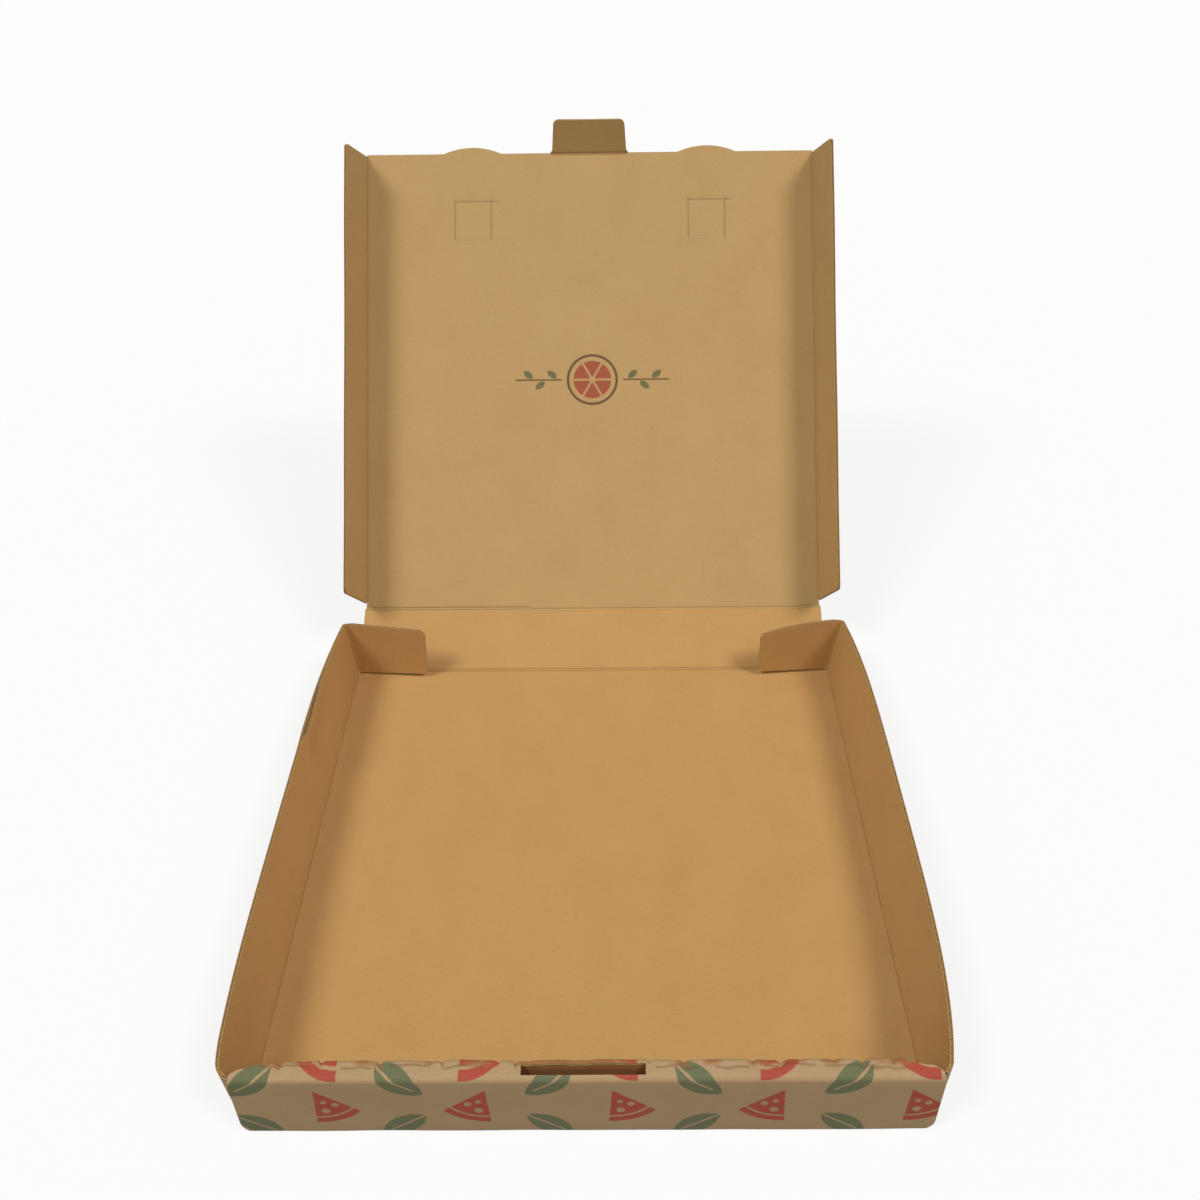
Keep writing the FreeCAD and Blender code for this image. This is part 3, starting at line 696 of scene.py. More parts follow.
def outside_paper():
    """Kraft liner flexo-printed in two flat inks, red and green, that sink in and let the fibres show."""
    material, add, shader = new_material("kraft_liner_printed", {"Roughness": 0.72, "IOR": PAPER_IOR,
                                                                 "Specular IOR Level": 0.4})
    sheet = add("ShaderNodeUVMap", uv_map="sheet")
    paper, fibres = kraft_paper(add, sheet, "#b0946e", "#96794d", "#c2aa86")
    paper = print_pattern(add, sheet, paper, fibres)
    paper_surface(add, shader, sheet, paper, fibres)
    return material


def cut_paper(name, base, dark, pale):
    """The papers' cut edge: rougher and paler than their faces, with the fibres' ends standing out."""
    material, add, shader = new_material(name, {"Roughness": 0.93, "Specular IOR Level": 0.2})
    place = add("ShaderNodeTexCoord").outputs["Object"]
    grain = add("ShaderNodeTexNoise", {"Vector": place, "Scale": 1 / (1.2 * MM), "Detail": 3.0})
    paper = tinted(add, colour(base), add(MATH, (grain, 0.55), operation="MULTIPLY"), pale)
    paper = tinted(add, paper, add(MATH, (add(MATH, (grain, 0.45), operation="SUBTRACT"), 1.6),
                                   operation="MULTIPLY"), dark)
    feed(shader, "Base Color", paper)
    height = add(MATH, (grain, 0.06 * MM), operation="MULTIPLY")
    feed(shader, "Normal", add("ShaderNodeBump", {"Height": height, "Distance": 1.0}))
    return material


# ---- the print: plain wedges with dots, and leaves, in columns that drop by half a step ----

PITCH_S, PITCH_T = 32.0, 31.0        # from column to column, and from motif to motif in a column
INK_EDGE = 0.2            # how soft an ink's edge is


def print_ink(add, paper, shape, code, cover):
    """Lays an ink on the paper inside a shape, which is given by its signed distance in metres."""
    inside = add("ShaderNodeMapRange", {"Value": shape, "From Min": INK_EDGE * MM,
                                        "From Max": -INK_EDGE * MM}, clamp=True)
    return tinted(add, paper, add(MATH, (inside, cover), operation="MULTIPLY"), code)


def disc(add, place, centre, radius):
    """Signed distance to a disc; the sizes are in millimetres."""
    away = add(VECTOR, (place, tuple(c * MM for c in centre) + (0,)), operation="DISTANCE")
    return add(MATH, (away, radius * MM), operation="SUBTRACT")


def leaf_shape(add, place, reach, offset, rib):
    """A leaf is where two wide discs overlap; a bare rib may run from its stalk to near its tip."""
    leaf = add(MATH, (disc(add, place, (0, offset), reach), disc(add, place, (0, -offset), reach)),
               operation="MAXIMUM")
    if not rib:
        return leaf
    half_long = math.sqrt(reach ** 2 - offset ** 2)
    axes = add("ShaderNodeSeparateXYZ", {"Vector": place}).outputs
    beside = add(MATH, (add(MATH, (axes["Y"],), operation="ABSOLUTE"), rib * MM), operation="SUBTRACT")
    beyond = add(MATH, (axes["X"], half_long * 0.62 * MM), operation="SUBTRACT")
    line = add(MATH, (beside, beyond), operation="MAXIMUM")
    return add(MATH, (leaf, add(MATH, (line, -1.0), operation="MULTIPLY")), operation="MAXIMUM")


def print_pattern(add, sheet, paper, fibres):
    """Columns of leaves and columns of wedges by turns; each motif faces the other way from the last."""
    cells = add(VECTOR, (sheet, (1 / PITCH_S / MM, 1 / PITCH_T / MM, 1)), operation="MULTIPLY")
    column = add(MATH, (add("ShaderNodeSeparateXYZ", {"Vector": cells}).outputs["X"],), operation="FLOOR")
    odd = add(MATH, (column, 2.0), operation="FLOORED_MODULO")
    drop = add("ShaderNodeCombineXYZ", {"Y": add(MATH, (odd, 0.5, 0.2), operation="MULTIPLY_ADD")})
    cells = add(VECTOR, (cells, drop), operation="ADD")
    number = add("ShaderNodeSeparateXYZ", {"Vector": add(VECTOR, (cells,), operation="FLOOR")}).outputs
    inner = add(VECTOR, (add(VECTOR, (cells,), operation="FRACTION"), (0.5, 0.5, 0)), operation="SUBTRACT")
    both = add(MATH, (add(MATH, (number["X"], 0.5), operation="MULTIPLY"), number["Y"]), operation="ADD")
    faces = add(MATH, (add(MATH, (both,), operation="FLOOR"), 2.0), operation="FLOORED_MODULO")
    turn = add(MATH, (faces, -2.0, 1.0), operation="MULTIPLY_ADD")
    flip = add("ShaderNodeCombineXYZ", {"X": turn, "Y": 1.0, "Z": 1.0})
    place = add(VECTOR, (add(VECTOR, (inner, flip), operation="MULTIPLY"), (PITCH_S * MM, PITCH_T * MM, 0)),
                operation="MULTIPLY")
    shift = add(MATH, (add(MATH, (fibres, 0.5), operation="SUBTRACT"), 0.5 * MM), operation="MULTIPLY")
    place = add(VECTOR, (place, add("ShaderNodeCombineXYZ", {"X": shift, "Y": shift})), operation="ADD")
    for_leaf = add("ShaderNodeVectorRotate", {"Vector": place, "Angle": math.radians(-36)},
                   rotation_type="Z_AXIS")
    leaf = leaf_shape(add, for_leaf, reach=16.0, offset=9.9, rib=0.5)
    # the wedge: a corner cut from a disc, with a bare line inside its rim and three bare dots
    for_wedge = add("ShaderNodeVectorRotate", {"Vector": place, "Angle": math.radians(24)},
                    rotation_type="Z_AXIS")
    from_tip = add(VECTOR, (for_wedge, (0, 12.0 * MM, 0)), operation="ADD")
    half = math.radians(27)   # half its tip's angle
    wedge = disc(add, from_tip, (0, 0), 24.5)
    for side in (-1, 1):
        across = (side * math.cos(half), -math.sin(half), 0)
        flank = add(VECTOR, (from_tip, across), operation="DOT_PRODUCT")
        wedge = add(MATH, (wedge, flank), operation="MAXIMUM")
    bare = add(MATH, (add(MATH, (disc(add, from_tip, (0, 0), 20.4),), operation="ABSOLUTE"), 0.6 * MM),
               operation="SUBTRACT")
    for centre, radius in (((-2.9, 15.6), 1.9), ((3.2, 13.0), 1.6), ((-0.4, 9.4), 1.3)):
        bare = add(MATH, (bare, disc(add, from_tip, centre, radius)), operation="MINIMUM")
    wedge = add(MATH, (wedge, add(MATH, (bare, -1.0), operation="MULTIPLY")), operation="MAXIMUM")
    cover = add(MATH, (fibres, 0.30, 0.74), operation="MULTIPLY_ADD")
    even = add(MATH, (1.0, odd), operation="SUBTRACT")
    paper = print_ink(add, paper, leaf, "#5b6647", add(MATH, (cover, odd), operation="MULTIPLY"))
    return print_ink(add, paper, wedge, "#a8392f", add(MATH, (cover, even), operation="MULTIPLY"))


EMBLEM = (1.0, LID_CREASE + 153.0)   # its middle in the flat sheet


def print_emblem(add, sheet, paper):
    """A plain round emblem on the lid's inside: a sliced disc in a ring, with a sprig to each side."""
    place = add(VECTOR, (sheet, (EMBLEM[0] * MM, EMBLEM[1] * MM, 0)), operation="SUBTRACT")
    folded = add(VECTOR, (place,), operation="ABSOLUTE")
    axes = add("ShaderNodeSeparateXYZ", {"Vector": place}).outputs
    beside = add("ShaderNodeSeparateXYZ", {"Vector": folded}).outputs
    ring = add(MATH, (add(MATH, (disc(add, place, (0, 0), 16.3),), operation="ABSOLUTE"), 0.85 * MM),
               operation="SUBTRACT")
    # six slices: the disc without the bare lines between them
    angle = add(MATH, (axes["Y"], axes["X"]), operation="ARCTAN2")
    share = add(MATH, (add(MATH, (angle, 3 / math.pi, 3.0), operation="MULTIPLY_ADD"),), operation="FRACT")
    to_side = add(MATH, (add(MATH, (share, 0.5), operation="SUBTRACT"),), operation="ABSOLUTE")
    swing = add(MATH, (to_side, -math.pi / 3, math.pi / 6), operation="MULTIPLY_ADD")
    length = add(VECTOR, (place,), operation="LENGTH")
    to_line = add(MATH, (add(MATH, (swing,), operation="SINE"), length), operation="MULTIPLY")
    slices = disc(add, place, (0, 0), 12.6)
    for bare, away in ((0.7, to_line), (2.2, length)):
        near = add(MATH, (bare * MM, away), operation="SUBTRACT")
        slices = add(MATH, (slices, near), operation="MAXIMUM")
    # the stems: each 31 mm long about its middle, 36 mm to the side, and 1 mm thick
    from_middle = add(MATH, (beside["X"], 36 * MM), operation="SUBTRACT")
    past_end = add(MATH, (add(MATH, (from_middle,), operation="ABSOLUTE"), 15.5 * MM), operation="SUBTRACT")
    past_edge = add(MATH, (beside["Y"], 0.5 * MM), operation="SUBTRACT")
    stem = add(MATH, (past_end, past_edge), operation="MAXIMUM")
    mirrored_place = add("ShaderNodeCombineXYZ", {"X": beside["X"], "Y": axes["Y"]})
    leaves = 1.0
    for at, way in ((27.0, 1), (35.0, -1), (43.0, 1)):
        moved = add(VECTOR, (mirrored_place, (at * MM, 3.6 * way * MM, 0)), operation="SUBTRACT")
        turned = add("ShaderNodeVectorRotate", {"Vector": moved, "Angle": math.radians(-40 * way)},
                     rotation_type="Z_AXIS")
        leaf = leaf_shape(add, turned, reach=4.7, offset=2.6, rib=0)
        leaves = add(MATH, (leaf, leaves), operation="MINIMUM")
    paper = print_ink(add, paper, add(MATH, (ring, stem), operation="MINIMUM"), "#5f4630", 0.9)
    paper = print_ink(add, paper, leaves, "#5f6646", 0.88)
    return print_ink(add, paper, slices, "#a04236", 0.85)


INSIDE = inside_paper("kraft_liner_plain", "#be955d", "#a27845", "#cca872")
# the lid's kraft is a little greyer than the tray's
LID_INSIDE_PAPER = inside_paper("kraft_liner_emblem", "#be9c68", "#a27f4f", "#ccaf7d", emblem=True)
OUTSIDE = outside_paper()
CUT = cut_paper("kraft_cut_edge", "#b3905f", "#8c6a41", "#d6bb8d")
MEDIUM = cut_paper("fluting_paper", "#aa8453", "#856138", "#c9a470")
FLUTE_TREE = flute_tree()


def dress(piece, inside=INSIDE):
    """The board's four surfaces: inside, outside, the papers' cut edges and the fluted paper."""
    for material in (inside, OUTSIDE, CUT, MEDIUM):
        piece.data.materials.append(material)


# ---- the tray ----

def mirrored(half):
    """The whole outline, anticlockwise, from its right half, which runs from front to rear."""
    return half + [(-s, t) for s, t in reversed(half)]


def on_seam(place, seam, slack=0.01):
    return abs(place - seam) < slack


# how deep each panel's crease is pressed in, and how deep a knife cut or a sharp fold goes
PRESSED = {"rear_wall": 0.22, "lid": 0.24, "side_flap": 0.2, "lock_tab": 0.22, "vent_flap": 0.03}
KNIFE_DEEP, SHARP_DEEP = 0.25, 0.2


SEAM_WALL = WALL_REAR - MARGIN
SEAM_REAR = REAR_CREASE - 2.5
WALL_EDGE = WALL_FOOT + WALL_FLAT
SEAM_FRONT_HALF = 147.6              # half the width at which the floor runs into the front wall
FLOOR_FRONT, FLOOR_REAR = -150.9, 154.1
FLAP_END = -226.0                    # the end of the hidden flap round the front corner
tray_half = [
    (SEAM_FRONT_HALF, FRONT_SEAM), (150.6, FLOOR_FRONT - 2), (FLOOR_HALF - FOLD, FLOOR_FRONT),
    (WALL_FOOT + 0.2, FLOOR_FRONT), (WALL_FOOT + 0.2, FLAP_END), (WALL_FOOT + 38.3, FLAP_END),
    (WALL_FOOT + 38.3, -153.5), (WALL_FOOT + 39.4, -149.5), (WALL_FOOT + 40.8, -144.5), (WALL_EDGE, -138),
    (WALL_EDGE, SEAM_WALL), (WALL_FOOT + 0.9, SEAM_WALL), (WALL_FOOT + 0.7, FLOOR_REAR),
    (REAR_HALF + 0.1, FLOOR_REAR), (REAR_HALF, SEAM_REAR)]
# scores across the side walls' crease, one of them on the foot of the wall itself
fold_lines = [151.2, 151.8, 152.1, 152.4, 152.7, 153.0, 153.3, 153.685, 154.4]


def wall_crease(side):
    """A side wall's crease wanders a little."""
    return lambda t: side * (FLOOR_HALF - 0.2 + 0.4 * ripple(t, side, size=19, seed=4.0))


up_wall = steps_between(WALL_FOOT + 3, WALL_EDGE - 1, 4)
across = steps_between(-148, 148, 9) + [side * v for side in (-1, 1) for v in fold_lines + up_wall]
along = (steps_between(FLAP_END, -168, 14) + steps_between(-165, -144, 0.9) + steps_between(-140, 148, 7) +
         steps_between(WALL_REAR - TORN_END, WALL_REAR - TORN_END + 12, 1.5))
tray_sheet = make_board(
    "tray_sheet", mirrored(tray_half), tray_middle, across, along,
    seam=lambda s, t: on_seam(t, FRONT_SEAM) or (on_seam(t, SEAM_REAR, 0.3) and abs(s) < REAR_HALF) or
    (on_seam(t, SEAM_WALL) and abs(s) > WALL_FOOT + 1),
    knife=[("s", wall_crease(side), -150.5, 153, KNIFE_DEEP) for side in (-1, 1)])
dress(tray_sheet)

front_half = [
    (135.6, INNER_FOOT + 0.4), (135.9, INNER_TOP + 1), (137.5, STRIP_REAR), (148.2, STRIP_FRONT - 1.6),
    (151.4, STRIP_FRONT), (FRONT_HALF, OUTER_TOP), (FRONT_HALF, FRONT_FOOT - 6), (152.1, FRONT_FOOT - 3.4),
    (151.1, FRONT_FOOT - 1.4), (149.6, FRONT_FOOT + 0.4), (SEAM_FRONT_HALF, FRONT_SEAM)]
FOOT_TAB_S, FOOT_TAB_HALF, FOOT_TAB_LONG = 75, 18, 1.6    # the two tabs that pin it into the floor
foot_tabs = []
for middle_s in (FOOT_TAB_S, -FOOT_TAB_S):
    foot_tabs += [(middle_s + FOOT_TAB_HALF * d, INNER_FOOT - FOOT_TAB_LONG * low)
                  for d, low in ((1, 0), (1, 1), (-1, 1), (-1, 0))]
front_outline = foot_tabs[::-1] + mirrored(front_half)
front_across = steps_between(-151, 151, 1.1) + [SLOT[0], SLOT[1]]
front_along = (steps_between(INNER_FOOT, INNER_TOP - 9, 6) + steps_between(INNER_TOP - 9, INNER_TOP, 1.2) +
               steps_between(INNER_TOP, STRIP_REAR, 0.32) + steps_between(STRIP_REAR, STRIP_FRONT, 0.45) +
               steps_between(STRIP_FRONT, OUTER_TOP, 0.45) + steps_between(OUTER_TOP, FRONT_FOOT, 5) +
               steps_between(FRONT_FOOT, FRONT_SEAM, 0.32) + [SLOT[2], SLOT[3]])
front_roll = make_board(
    "front_roll", front_outline, front_middle, front_across, front_along, holes=[SLOT],
    seam=lambda s, t: on_seam(t, FRONT_SEAM), marks_and_slot_shade=front_marks_and_slot_shade,
    knife=[("t", sharp_crease(ahead), low, high, SHARP_DEEP) for low, high, ahead in SHARP_CREASES])
dress(front_roll)


def split_paper():
    """The left wall's printed paper, which stayed upright where its top has sprung inwards."""
    mesh = bmesh.new()
    uv = mesh.loops.layers.uv.new("sheet")
    rows = []
    for share in steps_between(0, 1, 0.04):
        far = TORN_START + (TORN_END - TORN_START) * share
        loose = 0.3 * smooth(share, 0, 0.5) * smooth(1 - share, 0, 0.2)
        row = []
        for up, out in ((0.64, 0.0), (0.76, 0.35), (0.87, 0.65), (0.94, 0.85), (0.995, 1.0)):
            s, t = -(WALL_FOOT + WALL_FLAT * up), WALL_REAR - far
            spot, inside = frame_at(tray_middle, s, t)
            spot -= X * sprung_in(-1, up, far) * out
            for deep in (0.02, LINER):     # its two faces
                row.append((mesh.verts.new((spot - inside * (HALF + deep + loose * out)) * MM), s, t))
        rows.append(row)
    for one, two in zip(rows, rows[1:]):
        ring = list(range(0, 10, 2)) + list(range(9, 0, -2))
        for a, b in zip(ring, ring[1:] + ring[:1]):
            face = mesh.faces.new([one[a][0], one[b][0], two[b][0], two[a][0]])
            face.material_index = 1 if a % 2 and b % 2 else 2
            for loop, (_, s, t) in zip(face.loops, (one[a], one[b], two[b], two[a])):
                loop[uv].uv = (s * MM, t * MM)
    for row in (rows[0], rows[-1]):
        for n in range(0, 8, 2):
            mesh.faces.new([row[n][0], row[n + 1][0], row[n + 3][0], row[n + 2][0]]).material_index = 2
    bmesh.ops.recalc_face_normals(mesh, faces=mesh.faces[:])
    made = bpy.data.meshes.new("split_paper")
    mesh.to_mesh(made)
    mesh.free()
    return made


tray = bmesh.new()
tray.from_mesh(split_paper())
for part in (tray_sheet, front_roll):
    tray.from_mesh(part.data)
tray.to_mesh(tray_sheet.data)
tray.free()
bpy.data.objects.remove(front_roll)
tray_sheet.name = "tray_board"
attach(tray_sheet, "tray")
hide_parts("tray")

# ---- the rear wall, the lid and what hangs on it ----

SEAM_LID = LID_CREASE - MARGIN
rear_outline = mirrored([(REAR_HALF, SEAM_REAR), (REAR_HALF, 158.5), (REAR_HALF + 0.2, 176),
                         (REAR_HALF, SEAM_LID)])
rear_wall = make_board(
    "rear_wall_board", rear_outline, rear_middle, steps_between(-150, 150, 12),
    crease_scores(REAR_CREASE) + steps_between(160, 196, 9),
    seam=lambda s, t: on_seam(t, SEAM_REAR) or on_seam(t, SEAM_LID),
    creases=[("t", REAR_CREASE, -152, 152, PRESSED["rear_wall"])])
dress(rear_wall)
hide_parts("rear_wall")


def bump_edge(middle_s, width, rise, base, steps=14):
    """The thumb bump's curve, from its right foot to its left."""
    radius = (width * width / 4 + rise * rise) / (2 * rise)
    reach = math.degrees(math.asin(width / 2 / radius))
    return arc((middle_s, base + rise - radius), radius, 90 - reach, 90 + reach, steps)


LID_FRONT = LID_CREASE + LID_LONG
LID_JOGS = (-42.0, 139.0)            # where the crease steps from one ruled length to the next
LID_JOG = 1.3


def lid_crease_line(s):
    """The crease was ruled in three lengths; the middle one lies a little nearer to the tray."""
    first, last = LID_JOGS
    return LID_CREASE - LID_JOG * (smooth(s, first - 1, first + 1) - smooth(s, last - 1, last + 1))


SEAM_SIDE = LID_HALF - 1.6
SEAM_TAB = TAB_CREASE - 1.4
SEAM_VENT = VENT_CREASE - 1.4
FLAP_REAR, FLAP_FRONT = LID_CREASE + 4.0, LID_CREASE + 306.5
lid_half = [
    (REAR_HALF, SEAM_LID), (REAR_HALF, LID_CREASE - 0.6), (150.6, LID_CREASE + 0.8),
    (150.6, FLAP_REAR - 0.4), (SEAM_SIDE, FLAP_REAR), (SEAM_SIDE, FLAP_FRONT), (150.4, FLAP_FRONT + 0.1),
    (150.4, LID_FRONT - 0.5), (149.9, LID_FRONT)]
lid_half += bump_edge(middle_s=79, width=39, rise=4.2, base=LID_FRONT)
lid_half += [(TAB_HALF + CUT_GAP, LID_FRONT), (TAB_HALF + CUT_GAP, SEAM_TAB)]
vents = [(side * VENT_X - VENT_HALF, side * VENT_X + VENT_HALF, SEAM_VENT, VENT_FRONT) for side in (-1, 1)]
beside_cut = [-0.8, -0.3, 0, 0.3, 0.8]
lid_across = (steps_between(-148, 148, 10) +
              [v + d for vent in vents for v in vent[:2] for d in beside_cut] +
              [jog + d for jog in LID_JOGS for d in (-1.5, -0.5, 0.5, 1.5)])
lid_along = (steps_between(LID_CREASE - 4, LID_CREASE + 3, 0.35) + [SEAM_LID] +
             steps_between(LID_CREASE + 8, LID_FRONT - 8, 10) +
             [SEAM_VENT, VENT_CREASE - 0.3, VENT_CREASE, LID_FRONT - 3] +
             [VENT_FRONT + d for d in beside_cut])
vent_cuts = []
for low, high, _, _ in vents:
    vent_cuts += [("s", cut, VENT_CREASE - 0.1, VENT_FRONT + 0.4, KNIFE_DEEP) for cut in (low, high)]
    vent_cuts.append(("t", VENT_FRONT, low - 0.4, high + 2.6, KNIFE_DEEP))
lid = make_board(
    "lid_board", mirrored(lid_half), lid_middle, lid_across, lid_along, holes=vents,
    seam=lambda s, t: on_seam(t, SEAM_LID) or on_seam(abs(s), SEAM_SIDE) or
    (on_seam(t, SEAM_TAB) and abs(s) < TAB_HALF + 0.2) or on_seam(t, SEAM_VENT),
    creases=[("t", lid_crease_line, -152, 152, PRESSED["lid"])], knife=vent_cuts)
dress(lid, LID_INSIDE_PAPER)
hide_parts("lid")


def rounded(points, radius, steps=6):
    """The arc that rounds a corner, which is given between its two neighbours."""
    before, at, after = (Vector(p) for p in points)
    back, on = (before - at).normalized(), (after - at).normalized()
    half = back.angle(on) / 2
    centre = at + (back + on).normalized() * radius / math.sin(half)
    start, end = at + back * radius / math.tan(half), at + on * radius / math.tan(half)
    chord = [start.lerp(end, n / steps) for n in range(steps + 1)]
    return [tuple(centre + (spot - centre).normalized() * radius) for spot in chord]


side_flaps = {}
for side, name in SIDES:
    free = LID_HALF + SIDE_WIDE
    foot, top = (LID_HALF, FLAP_REAR + 0.1), (LID_HALF, FLAP_FRONT - 0.1)
    low, high = (free, FLAP_REAR + 5.5), (free, FLAP_FRONT - 6.5)
    flap_edge = [(SEAM_SIDE, foot[1]), foot] + rounded((foot, low, high), 3)
    flap_edge += rounded((low, high, top), 3) + [top, (SEAM_SIDE, top[1])]
    outline = [(side * s, t) for s, t in flap_edge][::side]
    flap = make_board(
        f"side_flap_{name}_board", outline, side_flap_middle,
        [side * v for v in crease_scores(LID_HALF)[1:] + steps_between(LID_HALF + 6, free - 2, 6)],
        steps_between(FLAP_REAR + 6, FLAP_FRONT - 6, 9),
        seam=lambda s, t: on_seam(abs(s), SEAM_SIDE),
        creases=[("s", side * LID_HALF, 0, 900, PRESSED["side_flap"])])
    dress(flap, LID_INSIDE_PAPER)
    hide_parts(f"lid_side_flap_{name}")
    side_flaps[name] = (flap, side)

tip = TAB_CREASE + 23     # the lock tab's end
# two small ears stand out from the tab's sides, just past its crease
tab_half = [(TAB_HALF, SEAM_TAB), (TAB_HALF, TAB_CREASE + 0.7), (26.3, TAB_CREASE + 1),
            (25.3, TAB_CREASE + 1.8), (24.9, TAB_CREASE + 3.5)]
tab_half += rounded(((TAB_HALF, TAB_CREASE), (23.5, tip), (0, tip)), 4)
tab = make_board(
    "lock_tab_board", mirrored(tab_half), tab_middle, steps_between(-20, 20, 5),
    crease_scores(TAB_CREASE)[2:] + steps_between(TAB_CREASE + 5, tip - 4, 4),
    seam=lambda s, t: on_seam(t, SEAM_TAB), creases=[("t", TAB_CREASE, -30, 30, PRESSED["lock_tab"])])
dress(tab, LID_INSIDE_PAPER)
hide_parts("lid_lock_tab")

vent_flaps = {}
for side, name in SIDES:
    low, high = side * VENT_X - VENT_HALF + CUT_GAP, side * VENT_X + VENT_HALF - CUT_GAP
    front = VENT_FRONT - CUT_GAP
    outline = [(low, SEAM_VENT), (high, SEAM_VENT), (high, front), (low, front)]
    vent = make_board(
        f"vent_flap_{name}_board", outline, lid_middle,
        steps_between(low + 3, high - 3, 5) + [low + 0.3, low + 0.8, high - 0.3, high - 0.8],
        crease_scores(VENT_CREASE)[2:] + steps_between(VENT_CREASE + 6, front - 4, 5) +
        [front - 0.3, front - 0.8],
        seam=lambda s, t: on_seam(t, SEAM_VENT), knife=vent_cuts,
        creases=[("t", VENT_CREASE, -100, 100, PRESSED["vent_flap"])])
    dress(vent, LID_INSIDE_PAPER)
    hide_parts(f"vent_flap_{name}")
    vent_flaps[name] = vent

# the two corner flaps are not cut quite alike: height of the top at the free end, how late the top falls
# to it, the radius of its corner, and how far the free end reaches at its foot and at its top
CORNER_CUTS = {"left": (40.2, 1.3, 4.5, 46, 50.5), "right": (35.2, 2.5, 3.0, 46, 49.5)}
FLAP_TOP = 42.6           # height of both at the crease


def up_at(height):
    """Where a height lies on a side wall or a corner flap, in the flat sheet."""
    return WALL_FOOT + (height - WALL_LOW) / WALL_RISE * WALL_FLAT


def corner_flap_outline(end_height, fall, corner, low_end, high_end):
    """The right corner flap in the flat sheet, from its foot to its free end and back along its top."""

    def on_top(share):
        return up_at(FLAP_TOP - (FLAP_TOP - end_height) * share ** fall), WALL_REAR + high_end * share

    end_foot, end_top = (up_at(5.0), WALL_REAR + low_end), (up_at(end_height), WALL_REAR + high_end)
    outline = [(up_at(2.9), SEAM_WALL), (up_at(3.0), WALL_REAR + 1.5), (up_at(3.4), WALL_REAR + 6)]
    outline += rounded((outline[-1], end_foot, end_top), 2, 3)
    outline += rounded((end_foot, end_top, on_top(0.8)), corner)
    outline += [on_top(n / 12) for n in range(9, 0, -1)]
    beside_crease = up_at(FLAP_TOP) - 0.5
    return outline + [(beside_crease, WALL_REAR + 1.8), (beside_crease, WALL_REAR + 0.2),
                      (WALL_EDGE, WALL_REAR - 1.0), (WALL_EDGE, SEAM_WALL)]


corner_flaps = {}
for side, name in SIDES:
    outline = [(side * s, t) for s, t in corner_flap_outline(*CORNER_CUTS[name])][::-side]
    flap = make_board(
        f"corner_flap_{name}_board", outline, corner_flap_middle,
        [side * v for v in steps_between(up_at(6), up_at(40), 4)],
        steps_between(WALL_REAR - 1.6, WALL_REAR + 1.8, 0.34) +
        steps_between(WALL_REAR + 5, WALL_REAR + 45, 5),
        seam=lambda s, t: on_seam(t, SEAM_WALL), knife=[("t", WALL_REAR, -400, 400, SHARP_DEEP)])
    dress(flap)
    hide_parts(f"rear_corner_flap_{name}")
    corner_flaps[name] = (flap, side)

# ---- each piece's placement, baked into its mesh ----

LEAD = 1.1                # how far from the crease a bend would start and end; no bend is made


def bend(piece, first, second, way):
    """Bakes the piece's placement into its mesh.

    Its two bodies and its way across the crease are not used.
    """
    way = way.normalized() * LEAD
    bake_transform(piece)


bodies = {node: body for body, nodes in frame["record"]["behaviour"]["bodies"].items() for node in nodes}
half_way = (REAR_TILT + LID_TILT) / 2
bend(rear_wall, bodies["tray"], bodies["rear_wall"],
     Vector((0, math.cos(REAR_TILT / 2), math.sin(REAR_TILT / 2))))
bend(lid, bodies["rear_wall"], bodies["lid"],
     Vector((0, math.cos(half_way), math.sin(half_way))))
for name, (flap, side) in side_flaps.items():
    way = X * side * math.cos(SIDE_FOLD / 2) + LID_INSIDE * math.sin(SIDE_FOLD / 2)
    bend(flap, bodies["lid"], bodies[f"lid_side_flap_{name}"], way)
bend(tab, bodies["lid"], bodies["lid_lock_tab"],
     LID_WAY * math.cos(TAB_FOLD / 2) + LID_INSIDE * math.sin(TAB_FOLD / 2))
for name, vent in vent_flaps.items():
    bend(vent, bodies["lid"], bodies[f"vent_flap_{name}"], LID_WAY)
for name, (flap, side) in corner_flaps.items():
    bend(flap, bodies["tray"], bodies[f"rear_corner_flap_{name}"], Vector((-side, 1, 0)))

# ---- the floor, the light and the camera ----

FLOOR_REACH = 60.0        # metres
floor_corners = [(x * FLOOR_REACH, y * FLOOR_REACH, 0) for x, y in ((-1, -1), (1, -1), (1, 1), (-1, 1))]
floor_mesh = bpy.data.meshes.new("studio_floor")
floor_mesh.from_pydata(floor_corners, [], [(0, 1, 2, 3)])
floor = bpy.data.objects.new("studio_floor", floor_mesh)
bpy.context.scene.collection.objects.link(floor)


def seen_by_eye(add):
    """1 for what the eye sees, straight, mirrored or through glass, and 0 for the light that is thrown."""
    rays = add("ShaderNodeLightPath").outputs
    seen = add(MATH, (rays["Is Camera Ray"], rays["Is Glossy Ray"]), operation="MAXIMUM")
    return add(MATH, (seen, rays["Is Transmission Ray"]), operation="MAXIMUM")


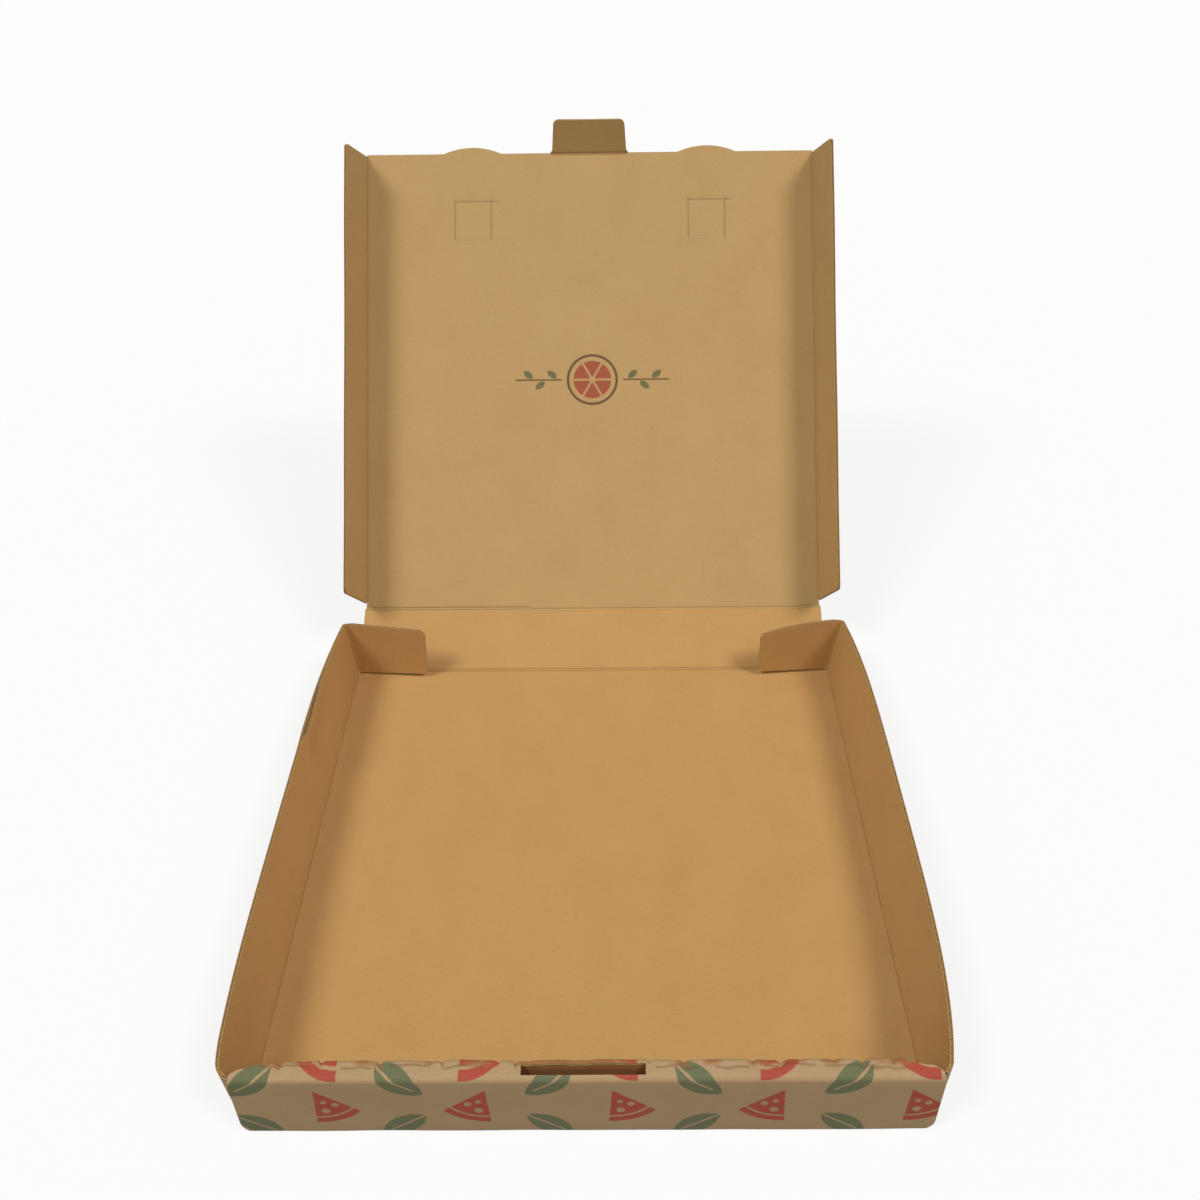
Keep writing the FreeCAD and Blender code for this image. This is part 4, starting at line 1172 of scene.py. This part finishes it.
# white to the eye, with a little real shading so that the box's shadow shows; darker to other light, so
# that the floor throws no glare up at the box
pale, add, shader = new_material("painted_floor", {"Roughness": 0.9})
seen = seen_by_eye(add)
paint = add("ShaderNodeMix", {0: seen, 6: colour("#6e6e6c"), 7: colour("#f6f6f6")}, data_type="RGBA")
feed(shader, "Base Color", paint)
white = add("ShaderNodeEmission", {"Color": (1, 1, 1, 1), "Strength": 1.0})
both = add("ShaderNodeMixShader", (add(MATH, (seen, 0.82), operation="MULTIPLY"), shader, white))
feed(pale.node_tree.nodes["Material Output"], "Surface", both)
floor_mesh.materials.append(pale)

world = bpy.data.worlds.new("studio")
bpy.context.scene.world = world
world.use_nodes = True
world.node_tree.nodes.clear()
add = partial(add_node, world.node_tree)
sky = add("ShaderNodeBackground", {"Color": (1.0, 0.95, 0.91, 1), "Strength": 0.22})
plain = add("ShaderNodeBackground", {"Color": (1, 1, 1, 1), "Strength": 1.0})
add("ShaderNodeOutputWorld", (add("ShaderNodeMixShader", (seen_by_eye(add), sky, plain)),))

# two soft lamps, in front and above, one to each side: each flap's shadow falls inwards
LAMP_ENERGY, LAMP_SPREAD = 1.47, math.radians(17)
for name, sideways, tint in (("left_lamp", -0.62, (0.99, 1.0, 0.96)),
                             ("right_lamp", 0.62, (1.0, 0.955, 0.92))):
    lamp = bpy.data.lights.new(name, "SUN")
    lamp.energy = LAMP_ENERGY
    lamp.angle = LAMP_SPREAD
    lamp.color = tint
    holder = bpy.data.objects.new(name, lamp)
    holder.rotation_euler = Vector((sideways, -0.40, 1)).to_track_quat("Z", "Y").to_euler()
    bpy.context.scene.collection.objects.link(holder)

# the camera stands where the photograph was taken from; its focal length is in pixels of that frame
PIXELS, FOCAL = 1200, 1183.2
PITCH, YAW, ROLL = (math.radians(a) for a in (37.327, 0.669, -0.851))
camera_data = bpy.data.cameras.new("camera")
camera_data.sensor_width = 36
camera_data.lens = FOCAL / PIXELS * camera_data.sensor_width
camera_data.clip_start = 0.01
camera = bpy.data.objects.new("camera", camera_data)
camera.location = Vector((12.35, -430.1, 504.8)) * MM
camera.rotation_euler = (Matrix.Rotation(YAW, 3, "Z") @ Matrix.Rotation(math.pi / 2 - PITCH, 3, "X") @
                         Matrix.Rotation(ROLL, 3, "Z")).to_euler()
bpy.context.scene.collection.objects.link(camera)
bpy.context.scene.camera = camera
bpy.context.scene.view_settings.view_transform = "Standard"
